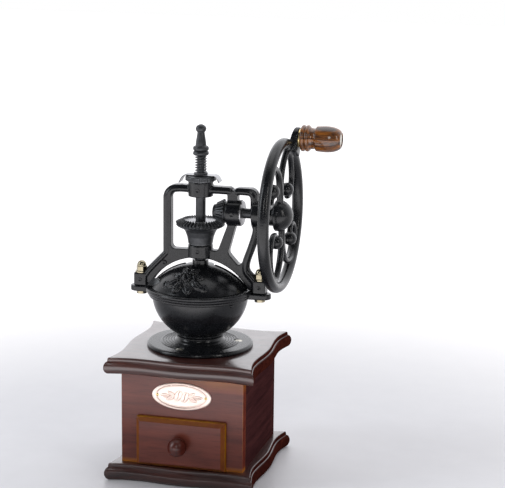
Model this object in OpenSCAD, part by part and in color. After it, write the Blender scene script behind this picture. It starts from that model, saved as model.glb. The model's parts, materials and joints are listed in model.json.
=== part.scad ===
// Hand crank coffee mill: a wooden box with a drawer, a cast bowl with a domed lid, and a
// bridge that carries a bevel gear pair, a flywheel crank and a grind adjuster.
// The origin is the centre of the base board's underside, +Z is up, the drawer faces -Y
// and the crank axis runs along X. Heights named *_up are measured from the top board.

/* [Wooden box] */
// Outer width and depth of the box walls
box_w = 100; // [98:1:102]
// Thickness of the walls
wall_t = 8; // [7:0.5:8]
// Thickness of the base board
base_t = 13.5; // [12.5:0.5:15]
// Height of the walls
wall_h = 74.5; // [73:0.5:78]
// Thickness of the top board
top_t = 13; // [12:0.5:14]
// How far the corners of both boards stand out from the walls
board_overhang = 12.2; // [11:0.1:13]

/* [Drawer] */
// Width of the drawer front
front_w = 73; // [71:1:75]
// Height of the drawer front
front_h = 39.7; // [38:0.1:41]
// Thickness of the drawer front
front_t = 6.5; // [6:0.5:8]
// Diameter of the turned knob
knob_d = 15; // [14:0.5:16]

/* [Bowl and lid] */
// Outer radius of the round bowl
bowl_r = 38.9; // [38.5:0.1:39.2]
// Radius of the flange that stands on the top board
flange_r = 42.7; // [41:0.1:44]
// Radius of the bowl's rim
rim_r = 44.4; // [44.2:0.1:44.6]
// Outer radius of the ball that the lid is part of
lid_ball_r = 50; // [49.9:0.1:50.1]

/* [Drive] */
// Height of the crank axis above the top board
crank_up = 110.5; // [110:0.5:111]
// Radius of the crank shaft and of the main shaft
shaft_r = 4; // [4:0.5:4]
// Teeth of the ring gear
ring_teeth = 40; // [40:1:40]
// Teeth of the pinion
pinion_teeth = 20; // [20:1:20]
// Pitch radius of the ring gear
ring_pitch_r = 19.6; // [19.4:0.1:19.7]

/* [Flywheel and handle] */
// Outer radius of the flywheel
wheel_r = 61.2; // [60:0.1:62]
// Middle plane of the flywheel
wheel_x = 65.8; // [65.5:0.1:66.5]
// Radial width of the flywheel's rim
rim_w = 8.7; // [8:0.1:9.5]
// Thickness of the flywheel's rim along its axle
rim_thick = 8.6; // [7.5:0.1:9]
// Distance from the crank axis to the handle's pin
handle_arm = 65.3; // [64:0.1:66]
// Direction of the handle's pin, from +Y towards +Z
handle_angle = 61.7; // [0:0.1:359]
// Length of the turned grip
grip_len = 32.5; // [30:0.5:36]

/* [Hidden] */
$fn = 64;
top_z = base_t + wall_h + top_t;
wall_top = base_t + wall_h;
half_w = box_w / 2;
half_in = half_w - wall_t;
eps = 0.01;

// Boards: half side at the corners, how deep the waves cut in, and where the waist lies
corner_half = half_w + board_overhang;
mid_drop = 1.8;
waist_drop = 4.2;
waist_at = 0.6;
side_steps = 14;

// Drawer
drawer_half = 32.5;
drawer_side_t = 5;
drawer_floor = base_t + 0.8;
drawer_top = 45;
drawer_back_y = 36;
opening_top = 50;
front_half = front_w / 2;
knob_z = 34;
knob_out = 6.5;
knob_screw_r = 2;

// Mill heights above the top board
flange_t = 3.3;
neck_r = 18.5;
neck_up = 10.6;
bowl_up = 44.5;
bowl_wall = 2.9;
burr_bore_r = 15.5;
rim_up = 49;
lug_low = 41.8;
lug_up = 46.3;
foot_up = 57;
bolt_x = 49.5;
bolt_r = 2.5;
ledge_up = 47;
ledge_r = 42.6;
lid_centre_up = 18;
lid_wall = 1.6;
cover_wall = 1.6;
lid_gap = 0.4;
pivot_r = 6.5;
lower_boss = [72.8, 83.2];
upper_boss = [122.5, 134.5];
boss_r = 10;
crank_boss_r = 10.5;
inner_boss = [22.6, 34.1];
outer_boss = [43.6, 54];
bridge_depth = 10;
fit_gap = 0.06;
flat_half = 3.4;

// Bevel gears: both cones meet where the two axes cross
pinion_pitch_r = ring_pitch_r * pinion_teeth / ring_teeth;
ring_angle = atan2(ring_pitch_r, pinion_pitch_r);
pinion_angle = 90 - ring_angle;
cone_len = norm([ring_pitch_r, pinion_pitch_r]);
tooth_shrink = 0.7;
addendum = 0.85;
dedendum = 1.15;
tooth_half = 0.6;
tooth_slope = 0.3;

// Adjuster heights above the top board
nut_up = [134.6, 138.8];
nut_r = 12.3;
shoulder_up = 138.2;
strip_t = 0.9;
strip_up = nut_up[1] + 0.1;
seat_up = strip_up + strip_t;
spring_up = [seat_up + 1.55, 155];
rod_r = 3;
spring_turns = 6;
wire_r = 0.6;
finial_up = 159;

handle_y = handle_arm * cos(handle_angle);
handle_z = handle_arm * sin(handle_angle);
lug_x = [65.2, 73];
lug_r = 8.6;
grip_x = lug_x[1] + 1.4;
pin_r = 3;
rim_mid = wheel_r - rim_w / 2;

// ---- Shared shapes ----

// A tube or disc standing on z0, with a bore
module ring(outer, inner, z0, z1) {
  translate([0, 0, z0]) difference() {
    cylinder(r = outer, h = z1 - z0);
    translate([0, 0, -1]) cylinder(r = inner, h = z1 - z0 + 2);
  }
}

// Turns a shape made along Z so that it lies along X from x = 0
module along_x() {
  rotate([0, 90, 0]) children();
}

// The mill stands on the top board
module on_top() {
  translate([0, 0, top_z]) children();
}

// The crank's frame: origin where the axes cross
module at_crank() {
  translate([0, 0, top_z + crank_up]) children();
}

// A right block between two corners
module block(low, high) {
  translate(low) cube(high - low);
}

function arc(c, r, a0, a1, n) =
  [for (i = [0:n]) c + r * [cos(a0 + (a1 - a0) * i / n), sin(a0 + (a1 - a0) * i / n)]];

// ---- Wooden box ----

// Half side of a board along its edge, u = 0 at the middle and 1 at the corner
function wave(u) =
  let (low = corner_half - waist_drop)
  u < waist_at
    ? low + (waist_drop - mid_drop) * (1 + cos(180 * u / waist_at)) / 2
    : low + waist_drop * (1 - cos(90 * (u - waist_at) / (1 - waist_at)));

// One side's outline points, moved in by inset, turned to face each way in turn
function board_side(turn, inset) =
  [for (i = [-side_steps:side_steps])
    let (u = 0.975 * i / side_steps, p = [wave(abs(u)) - inset, u * (corner_half - inset)])
    [p[0] * cos(turn) - p[1] * sin(turn), p[0] * sin(turn) + p[1] * cos(turn)]];

function board_outline(inset) = [for (turn = [0:90:270]) each board_side(turn, inset)];

// A moulded board skinned through rows of [inset, height]
module moulded_board(rows) {
  count = len(board_outline(0));
  last = len(rows) - 1;
  points = [for (row = rows) for (p = board_outline(row[0])) [p[0], p[1], row[1]]];
  sides = [for (k = [0:last - 1]) for (i = [0:count - 1])
    let (j = (i + 1) % count) each [
      [k * count + i, (k + 1) * count + i, (k + 1) * count + j],
      [k * count + i, (k + 1) * count + j, k * count + j]
    ]];
  bottom = [for (i = [0:count - 1]) i];
  top = [for (i = [count - 1:-1:0]) last * count + i];
  polyhedron(points, concat(sides, [bottom], [top]), convexity = 6);
}

// Rows of the moulding from the underside up: a bullnose, a small step and a flat top
function moulding(t) = [
  [2.2, 0], [0.7, 0.12 * t], [0, 0.38 * t], [0.5, 0.6 * t], [1.9, 0.78 * t],
  [2.4, 0.9 * t], [3.0, t]
];

module at_corners(inset) {
  for (sx = [-1, 1], sy = [-1, 1]) translate([sx * inset, sy * inset, 0]) children();
}

base_screw_at = 46;
base_screw_r = 1.6;

module screw_shape(length, head_r, shank_r) {
  head_h = head_r - shank_r + 0.4;
  cylinder(r1 = head_r, r2 = shank_r, h = head_h);
  cylinder(r = shank_r, h = length);
}

module base_board() {
  color([0.33, 0.10, 0.06]) difference() {
    moulded_board(moulding(base_t));
    at_corners(base_screw_at) translate([0, 0, 0.6]) screw_shape(30, 3.4, base_screw_r);
    at_corners(base_screw_at) translate([0, 0, -1]) cylinder(r = 3.4, h = 1.6 + eps);
  }
}

module base_screws() {
  color([0.75, 0.72, 0.6]) at_corners(base_screw_at) translate([0, 0, 0.6])
    screw_shape(30, 3.4, base_screw_r);
}

screw_ring_r = 31;
screw_angles = [15, 135, 255];
board_hole_r = 17;

module at_flange_screws() {
  for (a = screw_angles) rotate(a) translate([screw_ring_r, 0, 0]) children();
}

module top_board() {
  color([0.36, 0.11, 0.07]) difference() {
    translate([0, 0, wall_top]) moulded_board(moulding(top_t));
    translate([0, 0, wall_top - 1]) cylinder(r = board_hole_r, h = top_t + 2);
    on_top() at_flange_screws() translate([0, 0, -10]) cylinder(r = 1.7, h = 11);
  }
}

// Walls, drilled from below for the base screws
module wall(low, high) {
  difference() {
    block(low, high);
    at_corners(base_screw_at) cylinder(r = base_screw_r, h = 30.6);
  }
}

plate_z = 72;
plate_half = [24.2, 11];
plate_t = 1.4;
nail_x = 20;
nail_r = 0.6;

module at_nails() {
  for (side = [-1, 1]) translate([side * nail_x, -half_w, plate_z]) rotate([90, 0, 0]) children();
}

module front_wall() {
  color([0.38, 0.13, 0.08]) difference() {
    wall([-half_w, -half_w, base_t], [half_w, -half_in, wall_top]);
    block([-drawer_half - 0.6, -half_w - 1, base_t - 1], [drawer_half + 0.6, -half_in + 1, opening_top]);
    at_nails() translate([0, 0, -6]) cylinder(r = nail_r, h = 7);
  }
}

module back_wall() {
  color([0.34, 0.11, 0.07]) wall([-half_w, half_in, base_t], [half_w, half_w, wall_top]);
}

module left_wall() {
  color([0.34, 0.11, 0.07]) wall([-half_w, -half_in, base_t], [-half_in, half_in, wall_top]);
}

module right_wall() {
  color([0.34, 0.11, 0.07]) wall([half_in, -half_in, base_t], [half_w, half_in, wall_top]);
}

corner_block = 10;

module corner_blocks() {
  color([0.6, 0.42, 0.25]) for (turn = [0:90:270]) rotate(turn)
    translate([half_in, half_in, wall_top - 22]) linear_extrude(22)
      polygon([[0, 0], [-corner_block, 0], [0, -corner_block]]);
}

module drawer_guides() {
  color([0.6, 0.42, 0.25]) for (side = [0, 1]) mirror([side, 0, 0])
    block([drawer_half + 0.4, -half_in, base_t], [half_in, half_in, base_t + 10]);
}

function oval(a, b, n) = [for (i = [0:n - 1]) [a * cos(360 * i / n), b * sin(360 * i / n)]];

module oval_plate() {
  color([0.78, 0.52, 0.42]) translate([0, -half_w, plate_z]) rotate([90, 0, 0]) difference() {
    linear_extrude(plate_t) polygon(oval(plate_half[0], plate_half[1], 48));
    translate([0, 0, plate_t - 0.5]) linear_extrude(1)
      polygon(oval(plate_half[0] - 1.6, plate_half[1] - 1.6, 48));
    for (side = [-1, 1]) translate([side * nail_x, 0, -1]) cylinder(r = nail_r, h = 4);
  }
}

module plate_nails() {
  color([0.8, 0.68, 0.45]) at_nails() {
    translate([0, 0, -6]) cylinder(r = nail_r, h = 7);
    translate([0, 0, plate_t - 0.5]) intersection() {
      translate([0, 0, -0.9]) sphere(r = 1.6);
      cylinder(r = 2, h = 2);
    }
  }
}

// ---- Drawer ----

module drawer_front() {
  back_y = -half_w;
  low = base_t + 0.3;
  color([0.38, 0.13, 0.08]) difference() {
    hull() {
      block([-front_half, back_y - 3.5, low], [front_half, back_y, low + front_h]);
      block([-front_half + 3, back_y - front_t, low + 3], [front_half - 3, back_y, low + front_h - 3]);
    }
    translate([0, back_y + 1, knob_z]) rotate([90, 0, 0]) cylinder(r = knob_screw_r, h = front_t + 2);
  }
}

module drawer_side(sign) {
  x0 = sign > 0 ? drawer_half - drawer_side_t : -drawer_half;
  color([0.62, 0.45, 0.28])
    block([x0, -half_w, drawer_floor], [x0 + drawer_side_t, drawer_back_y, drawer_top]);
}

module drawer_left_side() {
  drawer_side(-1);
}

module drawer_right_side() {
  drawer_side(1);
}

module drawer_back() {
  inner = drawer_half - drawer_side_t;
  color([0.62, 0.45, 0.28]) block(
    [-inner, drawer_back_y - drawer_side_t, drawer_floor], [inner, drawer_back_y, drawer_top]);
}

module drawer_bottom() {
  inner = drawer_half - drawer_side_t;
  color([0.66, 0.5, 0.32]) block(
    [-inner, -half_w, drawer_floor], [inner, drawer_back_y - drawer_side_t, drawer_floor + 3]);
}

// Knob, turned about an axis that points out of the drawer front
module drawer_knob() {
  r = knob_d / 2;
  color([0.36, 0.12, 0.07]) translate([0, -half_w - front_t, knob_z]) rotate([90, 0, 0]) difference() {
    union() {
      cylinder(r = 4.6, h = 1.6);
      cylinder(r = 3.4, h = 4);
      translate([0, 0, knob_out]) intersection() {
        sphere(r = r);
        translate([0, 0, -4.8]) cylinder(r = 10, h = 11.8);
      }
    }
    translate([0, 0, -1]) cylinder(r = knob_screw_r, h = 9);
  }
}

module knob_screw() {
  color([0.75, 0.72, 0.6]) translate([0, -half_w, knob_z]) rotate([90, 0, 0]) {
    cylinder(r = knob_screw_r, h = front_t + 8);
    translate([0, 0, -2]) cylinder(r = 4, h = 2);
  }
}

// ---- Bowl, cover and lid ----

module bowl_profile() {
  outer = [for (i = [0:20]) let (a = -58 + 54 * i / 20)
    [bowl_r * cos(a), bowl_up + bowl_r * sin(a)]];
  inner_r = bowl_r - bowl_wall;
  inner_low = -acos(burr_bore_r / inner_r);
  inner = [for (i = [20:-1:0]) let (a = inner_low * (1 - i / 20))
    [inner_r * cos(a), bowl_up + inner_r * sin(a)]];
  polygon(concat(
    [[burr_bore_r, 0], [flange_r, 0], [flange_r + 0.3, 1.6], [flange_r - 0.4, flange_t - 0.6]],
    [[flange_r - 1.2, flange_t], [32, flange_t], [31.6, 4], [30.8, 4], [30.4, flange_t]],
    [[28.8, flange_t], [28.4, 4.2], [27.6, 4.2], [27.2, 3.6], [25.6, 3.6], [25.2, 4.5]],
    [[24.4, 4.5], [24, 3.9], [22.2, 4], [20, 5], [neck_r, 6.4], [neck_r, neck_up - 1.4]],
    [[19.4, neck_up - 1], [19.4, neck_up]],
    outer,
    [[41.2, 41.8], [41.6, 42.6], [41.6, 43.6], [42.9, 44.2], [42.9, 45.6], [rim_r, 46.2]],
    [[rim_r, 48.3], [rim_r - 0.7, rim_up], [ledge_r, rim_up], [ledge_r, ledge_up]],
    [[inner_r, ledge_up]], inner));
}

module ear(side) {
  mirror([side, 0, 0]) {
    block([40, -6.5, lug_low], [bolt_x + 2.6, 6.5, lug_up]);
    translate([bolt_x + 2.6, 0, lug_low]) cylinder(r = 6.5, h = lug_up - lug_low);
  }
}

module at_bolts() {
  for (side = [-1, 1]) translate([side * bolt_x, 0, 0]) children();
}

module mill_bowl() {
  color([0.07, 0.07, 0.08]) on_top() difference() {
    union() {
      rotate_extrude($fn = 96) bowl_profile();
      difference() {
        for (side = [0, 1]) ear(side);
        translate([0, 0, lug_low - 1]) cylinder(r = 41, h = 8);
      }
    }
    at_bolts() translate([0, 0, lug_low - 1]) cylinder(r = bolt_r, h = 8);
    at_flange_screws() translate([0, 0, -1]) cylinder(r = 1.7, h = 8);
    at_flange_screws() translate([0, 0, flange_t - 1.6]) cylinder(r1 = 1.7, r2 = 3.4, h = 1.7);
  }
}

module flange_screws() {
  color([0.3, 0.3, 0.31]) on_top() at_flange_screws() {
    translate([0, 0, -10]) cylinder(r = 1.7, h = 12);
    translate([0, 0, flange_t - 1.6]) cylinder(r1 = 1.7, r2 = 3.3, h = 1.6);
  }
}

// Fixed burr, pressed into the neck; the throat narrows, then opens downwards
module ring_burr() {
  color([0.45, 0.45, 0.47]) on_top() difference() {
    rotate_extrude() polygon([
      [12.1, 0.4], [burr_bore_r, 0.4], [burr_bore_r, 12], [14.2, 12], [9.7, 5.2]]);
    for (i = [0:11]) rotate(i * 30) translate([9.7, 0, 5.2]) rotate([0, 34, 20])
      translate([-1, -0.8, -1.5]) cube([1.9, 1.6, 12]);
  }
}

module ball_shell(outer, wall) {
  translate([0, 0, lid_centre_up]) difference() {
    sphere(r = outer, $fn = 96);
    sphere(r = outer - wall, $fn = 96);
  }
}

cover_ball_r = lid_ball_r - lid_wall - lid_gap;
cover_flange_up = 48.6;
lid_low = cover_flange_up + 0.3;
pivot_top = 70.6;
lid_ring_r = 11;

// Fixed half dome on a flange that lies in the bowl's rim, with the tube the lid turns on
module bowl_cover() {
  color([0.08, 0.08, 0.09]) on_top() {
    ring(ledge_r, 35.6, ledge_up, cover_flange_up);
    difference() {
      intersection() {
        ball_shell(cover_ball_r, cover_wall);
        union() {
          block([-60, -2.5, ledge_up], [60, 60, 80]);
          cylinder(r = lid_ring_r, h = 80);
        }
      }
      translate([0, 0, 40]) cylinder(r = pivot_r - 1, h = 40);
    }
    ring(pivot_r, shaft_r + 0.4, 62.5, pivot_top);
  }
}

tab_at = [-32.2, -17.6];
tab_turn = 241.7;
tab_lean = 16;
tab_r = 7;
tab_thick = 3;

// Turning half dome with its thumb tab
module lid() {
  color([0.09, 0.09, 0.10]) on_top() {
    difference() {
      intersection() {
        ball_shell(lid_ball_r, lid_wall);
        union() {
          block([-60, -60, lid_low], [60, 0, 80]);
          cylinder(r = lid_ring_r, h = 80);
        }
      }
      translate([0, 0, 40]) cylinder(r = pivot_r + 0.08, h = 40);
    }
    translate([tab_at[0], tab_at[1], lid_low + 0.6]) rotate([0, -tab_lean, tab_turn])
      translate([-tab_thick / 2, 0, 0]) along_x() intersection() {
        cylinder(r = tab_r, h = tab_thick);
        translate([-8, -8, -1]) cube([8, 16, tab_thick + 2]);
      }
  }
}

// ---- Bridge ----

arch_r = 47;
arch_up = 25.6;

// Outline in the plane of the bridge: x across, y up from the top board
module bridge_outline() {
  difference() {
    polygon(concat(
      [[-54.8, lug_up], [-54.8, foot_up], [-44.2, foot_up], [-30.2, 72]],
      arc([-19.2, 120.2], 11, 180, 90, 10),
      [[24.6, 131.2], [26.6, 129.8], [27.8, 128.4], [29, 129.8], [31, 131.2]],
      arc([41.2, 125], 6.2, 90, 0, 8),
      [[47.4, 101], [49, 100], [44.6, 84], [39.8, 70], [38.8, 62.5], [44.2, foot_up]],
      [[54.8, foot_up], [54.8, lug_up], [44.9, lug_up], [44.9, rim_up], [-44.9, rim_up]],
      [[-44.9, lug_up]]));
    polygon(concat(
      arc([-20.5, 82.2], 3.2, 180, 270, 5),
      arc([13.4, 82], 2.6, 270, 335, 5),
      [[22.8, 100], [22.8, 126]],
      arc([-19.2, 121.5], 4.5, 90, 180, 6)));
    polygon(concat(
      [[31, 126]], arc([38.8, 121.5], 4.5, 90, 0, 6), [[43.6, 110], [45.8, 100], [35.2, 70.6]],
      arc([32.6, 71.4], 2.2, -30, -130, 5), [[24.6, 77]], [[24, 79.4], [29.6, 100], [31, 110]]));
    translate([0, arch_up]) circle(r = arch_r, $fn = 96);
  }
}

module bridge() {
  lift = crank_up - 110.5;
  color([0.08, 0.08, 0.09]) on_top() difference() {
    union() {
      translate([0, bridge_depth / 2, lift]) rotate([90, 0, 0]) linear_extrude(bridge_depth)
        bridge_outline();
      translate([0, 0, lower_boss[0]]) cylinder(r = boss_r, h = lower_boss[1] - lower_boss[0]);
      translate([0, 0, upper_boss[0]]) cylinder(r = boss_r, h = upper_boss[1] - upper_boss[0]);
      for (b = [inner_boss, outer_boss])
        translate([b[0], 0, crank_up]) along_x() cylinder(r = crank_boss_r, h = b[1] - b[0]);
    }
    translate([0, 0, 60]) cylinder(r = shaft_r + fit_gap, h = 90);
    translate([15, 0, crank_up]) along_x() cylinder(r = shaft_r + fit_gap, h = 50);
    at_bolts() translate([0, 0, 40]) cylinder(r = bolt_r, h = 30);
  }
}

module ear_bolts() {
  color([0.55, 0.53, 0.48]) on_top() at_bolts() {
    translate([0, 0, lug_low - 2.4]) cylinder(r = 4.2, h = 2.4);
    translate([0, 0, lug_low - 1]) cylinder(r = bolt_r, h = 62.5 - lug_low + 1);
  }
}

module ear_washers() {
  color([0.78, 0.74, 0.62]) on_top() at_bolts() ring(5.2, bolt_r, foot_up, foot_up + 1);
}

module acorn_nuts() {
  color([0.8, 0.76, 0.64]) on_top() at_bolts() translate([0, 0, foot_up + 1]) difference() {
    union() {
      cylinder(r = 4.6, h = 4.4, $fn = 6);
      intersection() {
        translate([0, 0, 4.6]) sphere(r = 3.9);
        cylinder(r = 4, h = 9);
      }
    }
    translate([0, 0, -1]) cylinder(r = bolt_r, h = 5.5);
  }
}

module crank_washers() {
  color([0.8, 0.8, 0.8]) at_crank() for (x = [inner_boss[1], outer_boss[1]])
    translate([x, 0, 0]) along_x() ring(9.6, shaft_r + fit_gap, 0, 0.9);
}

module thrust_washer() {
  color([0.6, 0.55, 0.4]) on_top() ring(8.6, shaft_r + fit_gap, lower_boss[1], lower_boss[1] + 0.8);
}

// ---- Gears: each is made with its cone's apex at the origin, opening downwards ----

module bevel_tooth() {
  tip_half = tooth_half - tooth_slope * addendum;
  root_half = tooth_half + tooth_slope * dedendum;
  linear_extrude(height = cone_len * (1 - tooth_shrink), scale = tooth_shrink)
    polygon([[-root_half, -dedendum - 0.2], [root_half, -dedendum - 0.2],
      [tip_half, addendum], [-tip_half, addendum]]);
}

module bevel_teeth(count, pitch_r, depth, angle, offset) {
  for (i = [0:count - 1]) rotate((i + offset) * 360 / count)
    translate([pitch_r, 0, -depth]) rotate([0, -angle, 0]) rotate(-90) bevel_tooth();
}

// A point on the root cone, at the large end for k = 1
function root_point(pitch_r, depth, angle, k) =
  k * [pitch_r - dedendum * cos(angle), -depth - dedendum * sin(angle)];

// Round bar with two flats facing +Y and -Y
module flatted(r, half, h) {
  intersection() {
    cylinder(r = r, h = h);
    translate([-r - 1, -half, 0]) cube([2 * r + 2, 2 * half, h]);
  }
}

module ring_gear() {
  big = root_point(ring_pitch_r, pinion_pitch_r, ring_angle, 1);
  small = root_point(ring_pitch_r, pinion_pitch_r, ring_angle, tooth_shrink);
  foot = lower_boss[1] + 0.9 - crank_up;
  color([0.10, 0.10, 0.11]) at_crank() difference() {
    union() {
      rotate_extrude($fn = 96) polygon([
        [0, foot], [9.8, foot], [10.1, foot + 2], [10.8, -20.6], [12.4, -16.4], [13.8, -14.4],
        [17, -13], [18.8, -12], [19.5, -11.3], big, small, [12.7, -8.2], [12.1, -10.8],
        [7, -11.8], [6.6, -11.2], [0, -11.2]]);
      bevel_teeth(ring_teeth, ring_pitch_r, pinion_pitch_r, ring_angle, 0);
    }
    translate([0, 0, foot - 1]) flatted(shaft_r + fit_gap, flat_half + fit_gap, 30);
  }
}

module pinion() {
  big = root_point(pinion_pitch_r, ring_pitch_r, pinion_angle, 1);
  small = root_point(pinion_pitch_r, ring_pitch_r, pinion_angle, tooth_shrink);
  color([0.10, 0.10, 0.11]) at_crank() rotate([0, -90, 0]) difference() {
    union() {
      rotate_extrude() polygon([
        [0, -22.4], [7.6, -22.4], [7.6, -21], [8.6, -20.6], big, small, [6, -13.4], [6, -11.6],
        [5.4, -11], [0, -11]]);
      bevel_teeth(pinion_teeth, pinion_pitch_r, ring_pitch_r, pinion_angle, 0.5);
    }
    translate([0, 0, -24]) cylinder(r = shaft_r, h = 14);
    translate([-7, 0, -12.6]) along_x() cylinder(r = 0.8, h = 14, $fn = 24);
  }
}

module pinion_pin() {
  color([0.6, 0.6, 0.6]) at_crank() translate([12.6, 0, -6]) cylinder(r = 0.8, h = 12, $fn = 24);
}

wheel_bore_end = 70;

module crank_shaft() {
  color([0.25, 0.25, 0.27]) at_crank() difference() {
    translate([11.2, 0, 0]) along_x() cylinder(r = shaft_r, h = wheel_bore_end - 11.2);
    translate([12.6, 0, -7]) cylinder(r = 0.8, h = 14, $fn = 24);
    translate([set_screw_x, 0, shaft_r - 0.8]) cylinder(r = set_screw_r, h = 5, $fn = 24);
  }
}

// ---- Flywheel ----

// A strip of constant width along a path in a plane
module ribbon(path, width) {
  last = len(path) - 1;
  normals = [for (i = [0:last])
    let (d = path[min(i + 1, last)] - path[max(i - 1, 0)]) [-d[1], d[0]] / norm(d)];
  polygon(concat(
    [for (i = [0:last]) path[i] + normals[i] * width / 2],
    [for (i = [last:-1:0]) path[i] - normals[i] * width / 2]));
}

// A smooth open curve through the points, n steps from one to the next
function curve_point(a, b, c, d, t) =
  0.5 * (2 * b + (c - a) * t + (2 * a - 5 * b + 4 * c - d) * t * t + (3 * b - a - 3 * c + d) * t * t * t);

function curve(p, n) =
  let (last = len(p) - 1) concat(
    [for (i = [0:last - 1]) for (k = [0:n - 1])
      curve_point(p[max(i - 1, 0)], p[i], p[i + 1], p[min(i + 2, last)], k / n)],
    [p[last]]);

// The two scrolls of one half turn, y across and z up: each leaves the hub, touches the rim
// and curls in to its ball
scroll_w = 4.6;
near_scroll = [[-3, 8], [-3, 24], [3, 38], [16, 48.5], [27.5, 42.5], [33, 30], [32, 19], [26, 12], [18, 12]];
far_scroll = [[-3, 14], [-8, 31], [-18, 39.5], [-31, 41.5], [-42, 34.5], [-46.5, 24], [-42, 15], [-34, 14], [-30, 19]];
ball_at = [[16.5, 18], [-29.5, 24.5]];
ball_r = 6;

module scrolls() {
  ribbon(curve(near_scroll, 4), scroll_w);
  ribbon(curve(far_scroll, 4), scroll_w);
}

hub_x = [56.2, 66];
hub_r = 12.6;
set_screw_x = 58.6;
set_screw_r = 1.5;

module flywheel() {
  color([0.07, 0.07, 0.08]) at_crank() difference() {
    union() {
      translate([wheel_x, 0, 0]) along_x() rotate_extrude($fn = 120) translate([rim_mid, 0])
        polygon([for (p = oval(rim_w / 2, rim_thick / 2, 16)) p]);
      translate([hub_x[0], 0, 0]) along_x() cylinder(r = 8.6, h = 6);
      translate([61.4, 0, 0]) along_x() cylinder(r = hub_r, h = 2.4);
      translate([62.8, 0, 0]) intersection() {
        sphere(r = hub_r);
        along_x() cylinder(r = hub_r + 1, h = hub_r + 1);
      }
      for (turn = [0, 180]) rotate([turn, 0, 0]) {
        translate([wheel_x - scroll_w / 2, 0, 0]) rotate([90, 0, 90]) linear_extrude(scroll_w)
          scrolls();
        for (b = ball_at) translate([wheel_x + 0.6, b[0], b[1]]) sphere(r = ball_r);
      }
      rotate([handle_angle, 0, 0]) intersection() {
        union() {
          block([lug_x[0], handle_arm - 12, -7], [lug_x[1], handle_arm, 7]);
          translate([lug_x[0], handle_arm, 0]) along_x() cylinder(r = lug_r, h = lug_x[1] - lug_x[0]);
        }
        translate([0, 0, -lug_r - 1]) linear_extrude(2 * lug_r + 2) polygon([
          [lug_x[0], handle_arm - 13], [lug_x[1] + 1, handle_arm - 13], [lug_x[1] + 1, handle_arm + 10],
          [lug_x[0] + 3.4, handle_arm + 10], [lug_x[0] + 2.2, handle_arm], [lug_x[0], handle_arm - 8]]);
      }
    }
    translate([hub_x[0] - 1, 0, 0]) along_x() cylinder(r = shaft_r, h = wheel_bore_end - hub_x[0] + 1);
    translate([set_screw_x, 0, 0]) cylinder(r = set_screw_r, h = 12, $fn = 24);
    at_handle() translate([lug_x[0] - 1, 0, 0]) along_x() cylinder(r = pin_r, h = 12);
  }
}

module at_handle() {
  translate([0, handle_y, handle_z]) children();
}

module wheel_set_screw() {
  color([0.3, 0.3, 0.3]) at_crank() translate([set_screw_x, 0, shaft_r - 0.8])
    cylinder(r = set_screw_r, h = 6, $fn = 24);
}

pin_head_r = 4.8;

module crank_pin() {
  color([0.7, 0.7, 0.68]) at_crank() at_handle() {
    translate([lug_x[0] + 2, 0, 0]) along_x() cylinder(r = pin_r, h = grip_x + grip_len - lug_x[0] - 5);
    translate([grip_x + grip_len - 3, 0, 0]) along_x() cylinder(r = pin_head_r, h = 2.2);
  }
}

module grip_washer() {
  color([0.75, 0.6, 0.3]) at_crank() at_handle() translate([lug_x[1], 0, 0]) along_x()
    ring(7.4, pin_r, 0, 1.1);
}

module grip() {
  l = grip_len;
  color([0.35, 0.14, 0.04]) at_crank() at_handle() translate([grip_x, 0, 0]) along_x() difference() {
    rotate_extrude() polygon([
      [0, 0], [9.6, 0], [10.6, 0.8], [10.7, 2], [10, 3.2], [9.4, 3.6], [10.2, 4.2], [10.6, 5.2],
      [10.2, 6.4], [8.9, 7.6], [8.5, 9.6], [9, 12], [9.9, 15], [10.3, 18.5], [10.2, 22],
      [9.6, l - 7], [8.4, l - 3.4], [6.6, l - 0.8], [5.6, l], [0, l]]);
    translate([0, 0, -1]) cylinder(r = pin_r + 0.08, h = l + 2);
    translate([0, 0, l - 3.4]) cylinder(r = pin_head_r + 0.4, h = 4);
  }
}

// ---- Main shaft, burr and adjuster ----

shaft_low = -8;
rod_top = 164.5;

module main_shaft() {
  color([0.2, 0.2, 0.22]) on_top() {
    translate([0, 0, shaft_low]) cylinder(r = shaft_r, h = 81.4 - shaft_low);
    translate([0, 0, 81.4]) flatted(shaft_r, flat_half, 20.6);
    translate([0, 0, 102]) cylinder(r = shaft_r, h = shoulder_up - 102);
    translate([0, 0, shoulder_up]) cylinder(r = rod_r, h = rod_top - shoulder_up);
  }
}

// Moving burr: a cone with slanted cutting grooves
module cone_burr() {
  color([0.5, 0.5, 0.52]) on_top() difference() {
    rotate_extrude() polygon([[shaft_r, -3], [11.8, -3], [11.2, 0], [8.6, 5.2], [6, 11], [shaft_r, 11]]);
    for (i = [0:11]) rotate(i * 30) translate([9.6, 0, 3]) rotate([0, -26, 14])
      translate([-0.9, -0.7, -9]) cube([2.4, 1.4, 18]);
  }
}

module burr_nut() {
  color([0.6, 0.6, 0.6]) on_top() difference() {
    translate([0, 0, -6.6]) cylinder(r = 7.4, h = 3.6, $fn = 6);
    translate([0, 0, -8]) cylinder(r = shaft_r, h = 6);
  }
}

nut_notches = 12;

module adjusting_nut() {
  color([0.12, 0.12, 0.13]) on_top() difference() {
    union() {
      translate([0, 0, nut_up[0]]) cylinder(r = nut_r - 1.3, h = nut_up[1] - nut_up[0]);
      translate([0, 0, nut_up[0] + 0.8]) cylinder(r = nut_r, h = nut_up[1] - nut_up[0] - 1.6);
    }
    translate([0, 0, nut_up[0] - 1]) cylinder(r = shaft_r + fit_gap, h = 8);
    for (i = [0:nut_notches - 1]) rotate((i + 0.5) * 360 / nut_notches)
      translate([nut_r + 0.4, 0, nut_up[0] - 1]) cylinder(r = 1.2, h = 8, $fn = 20);
  }
}

strip_half = 5;

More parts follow.
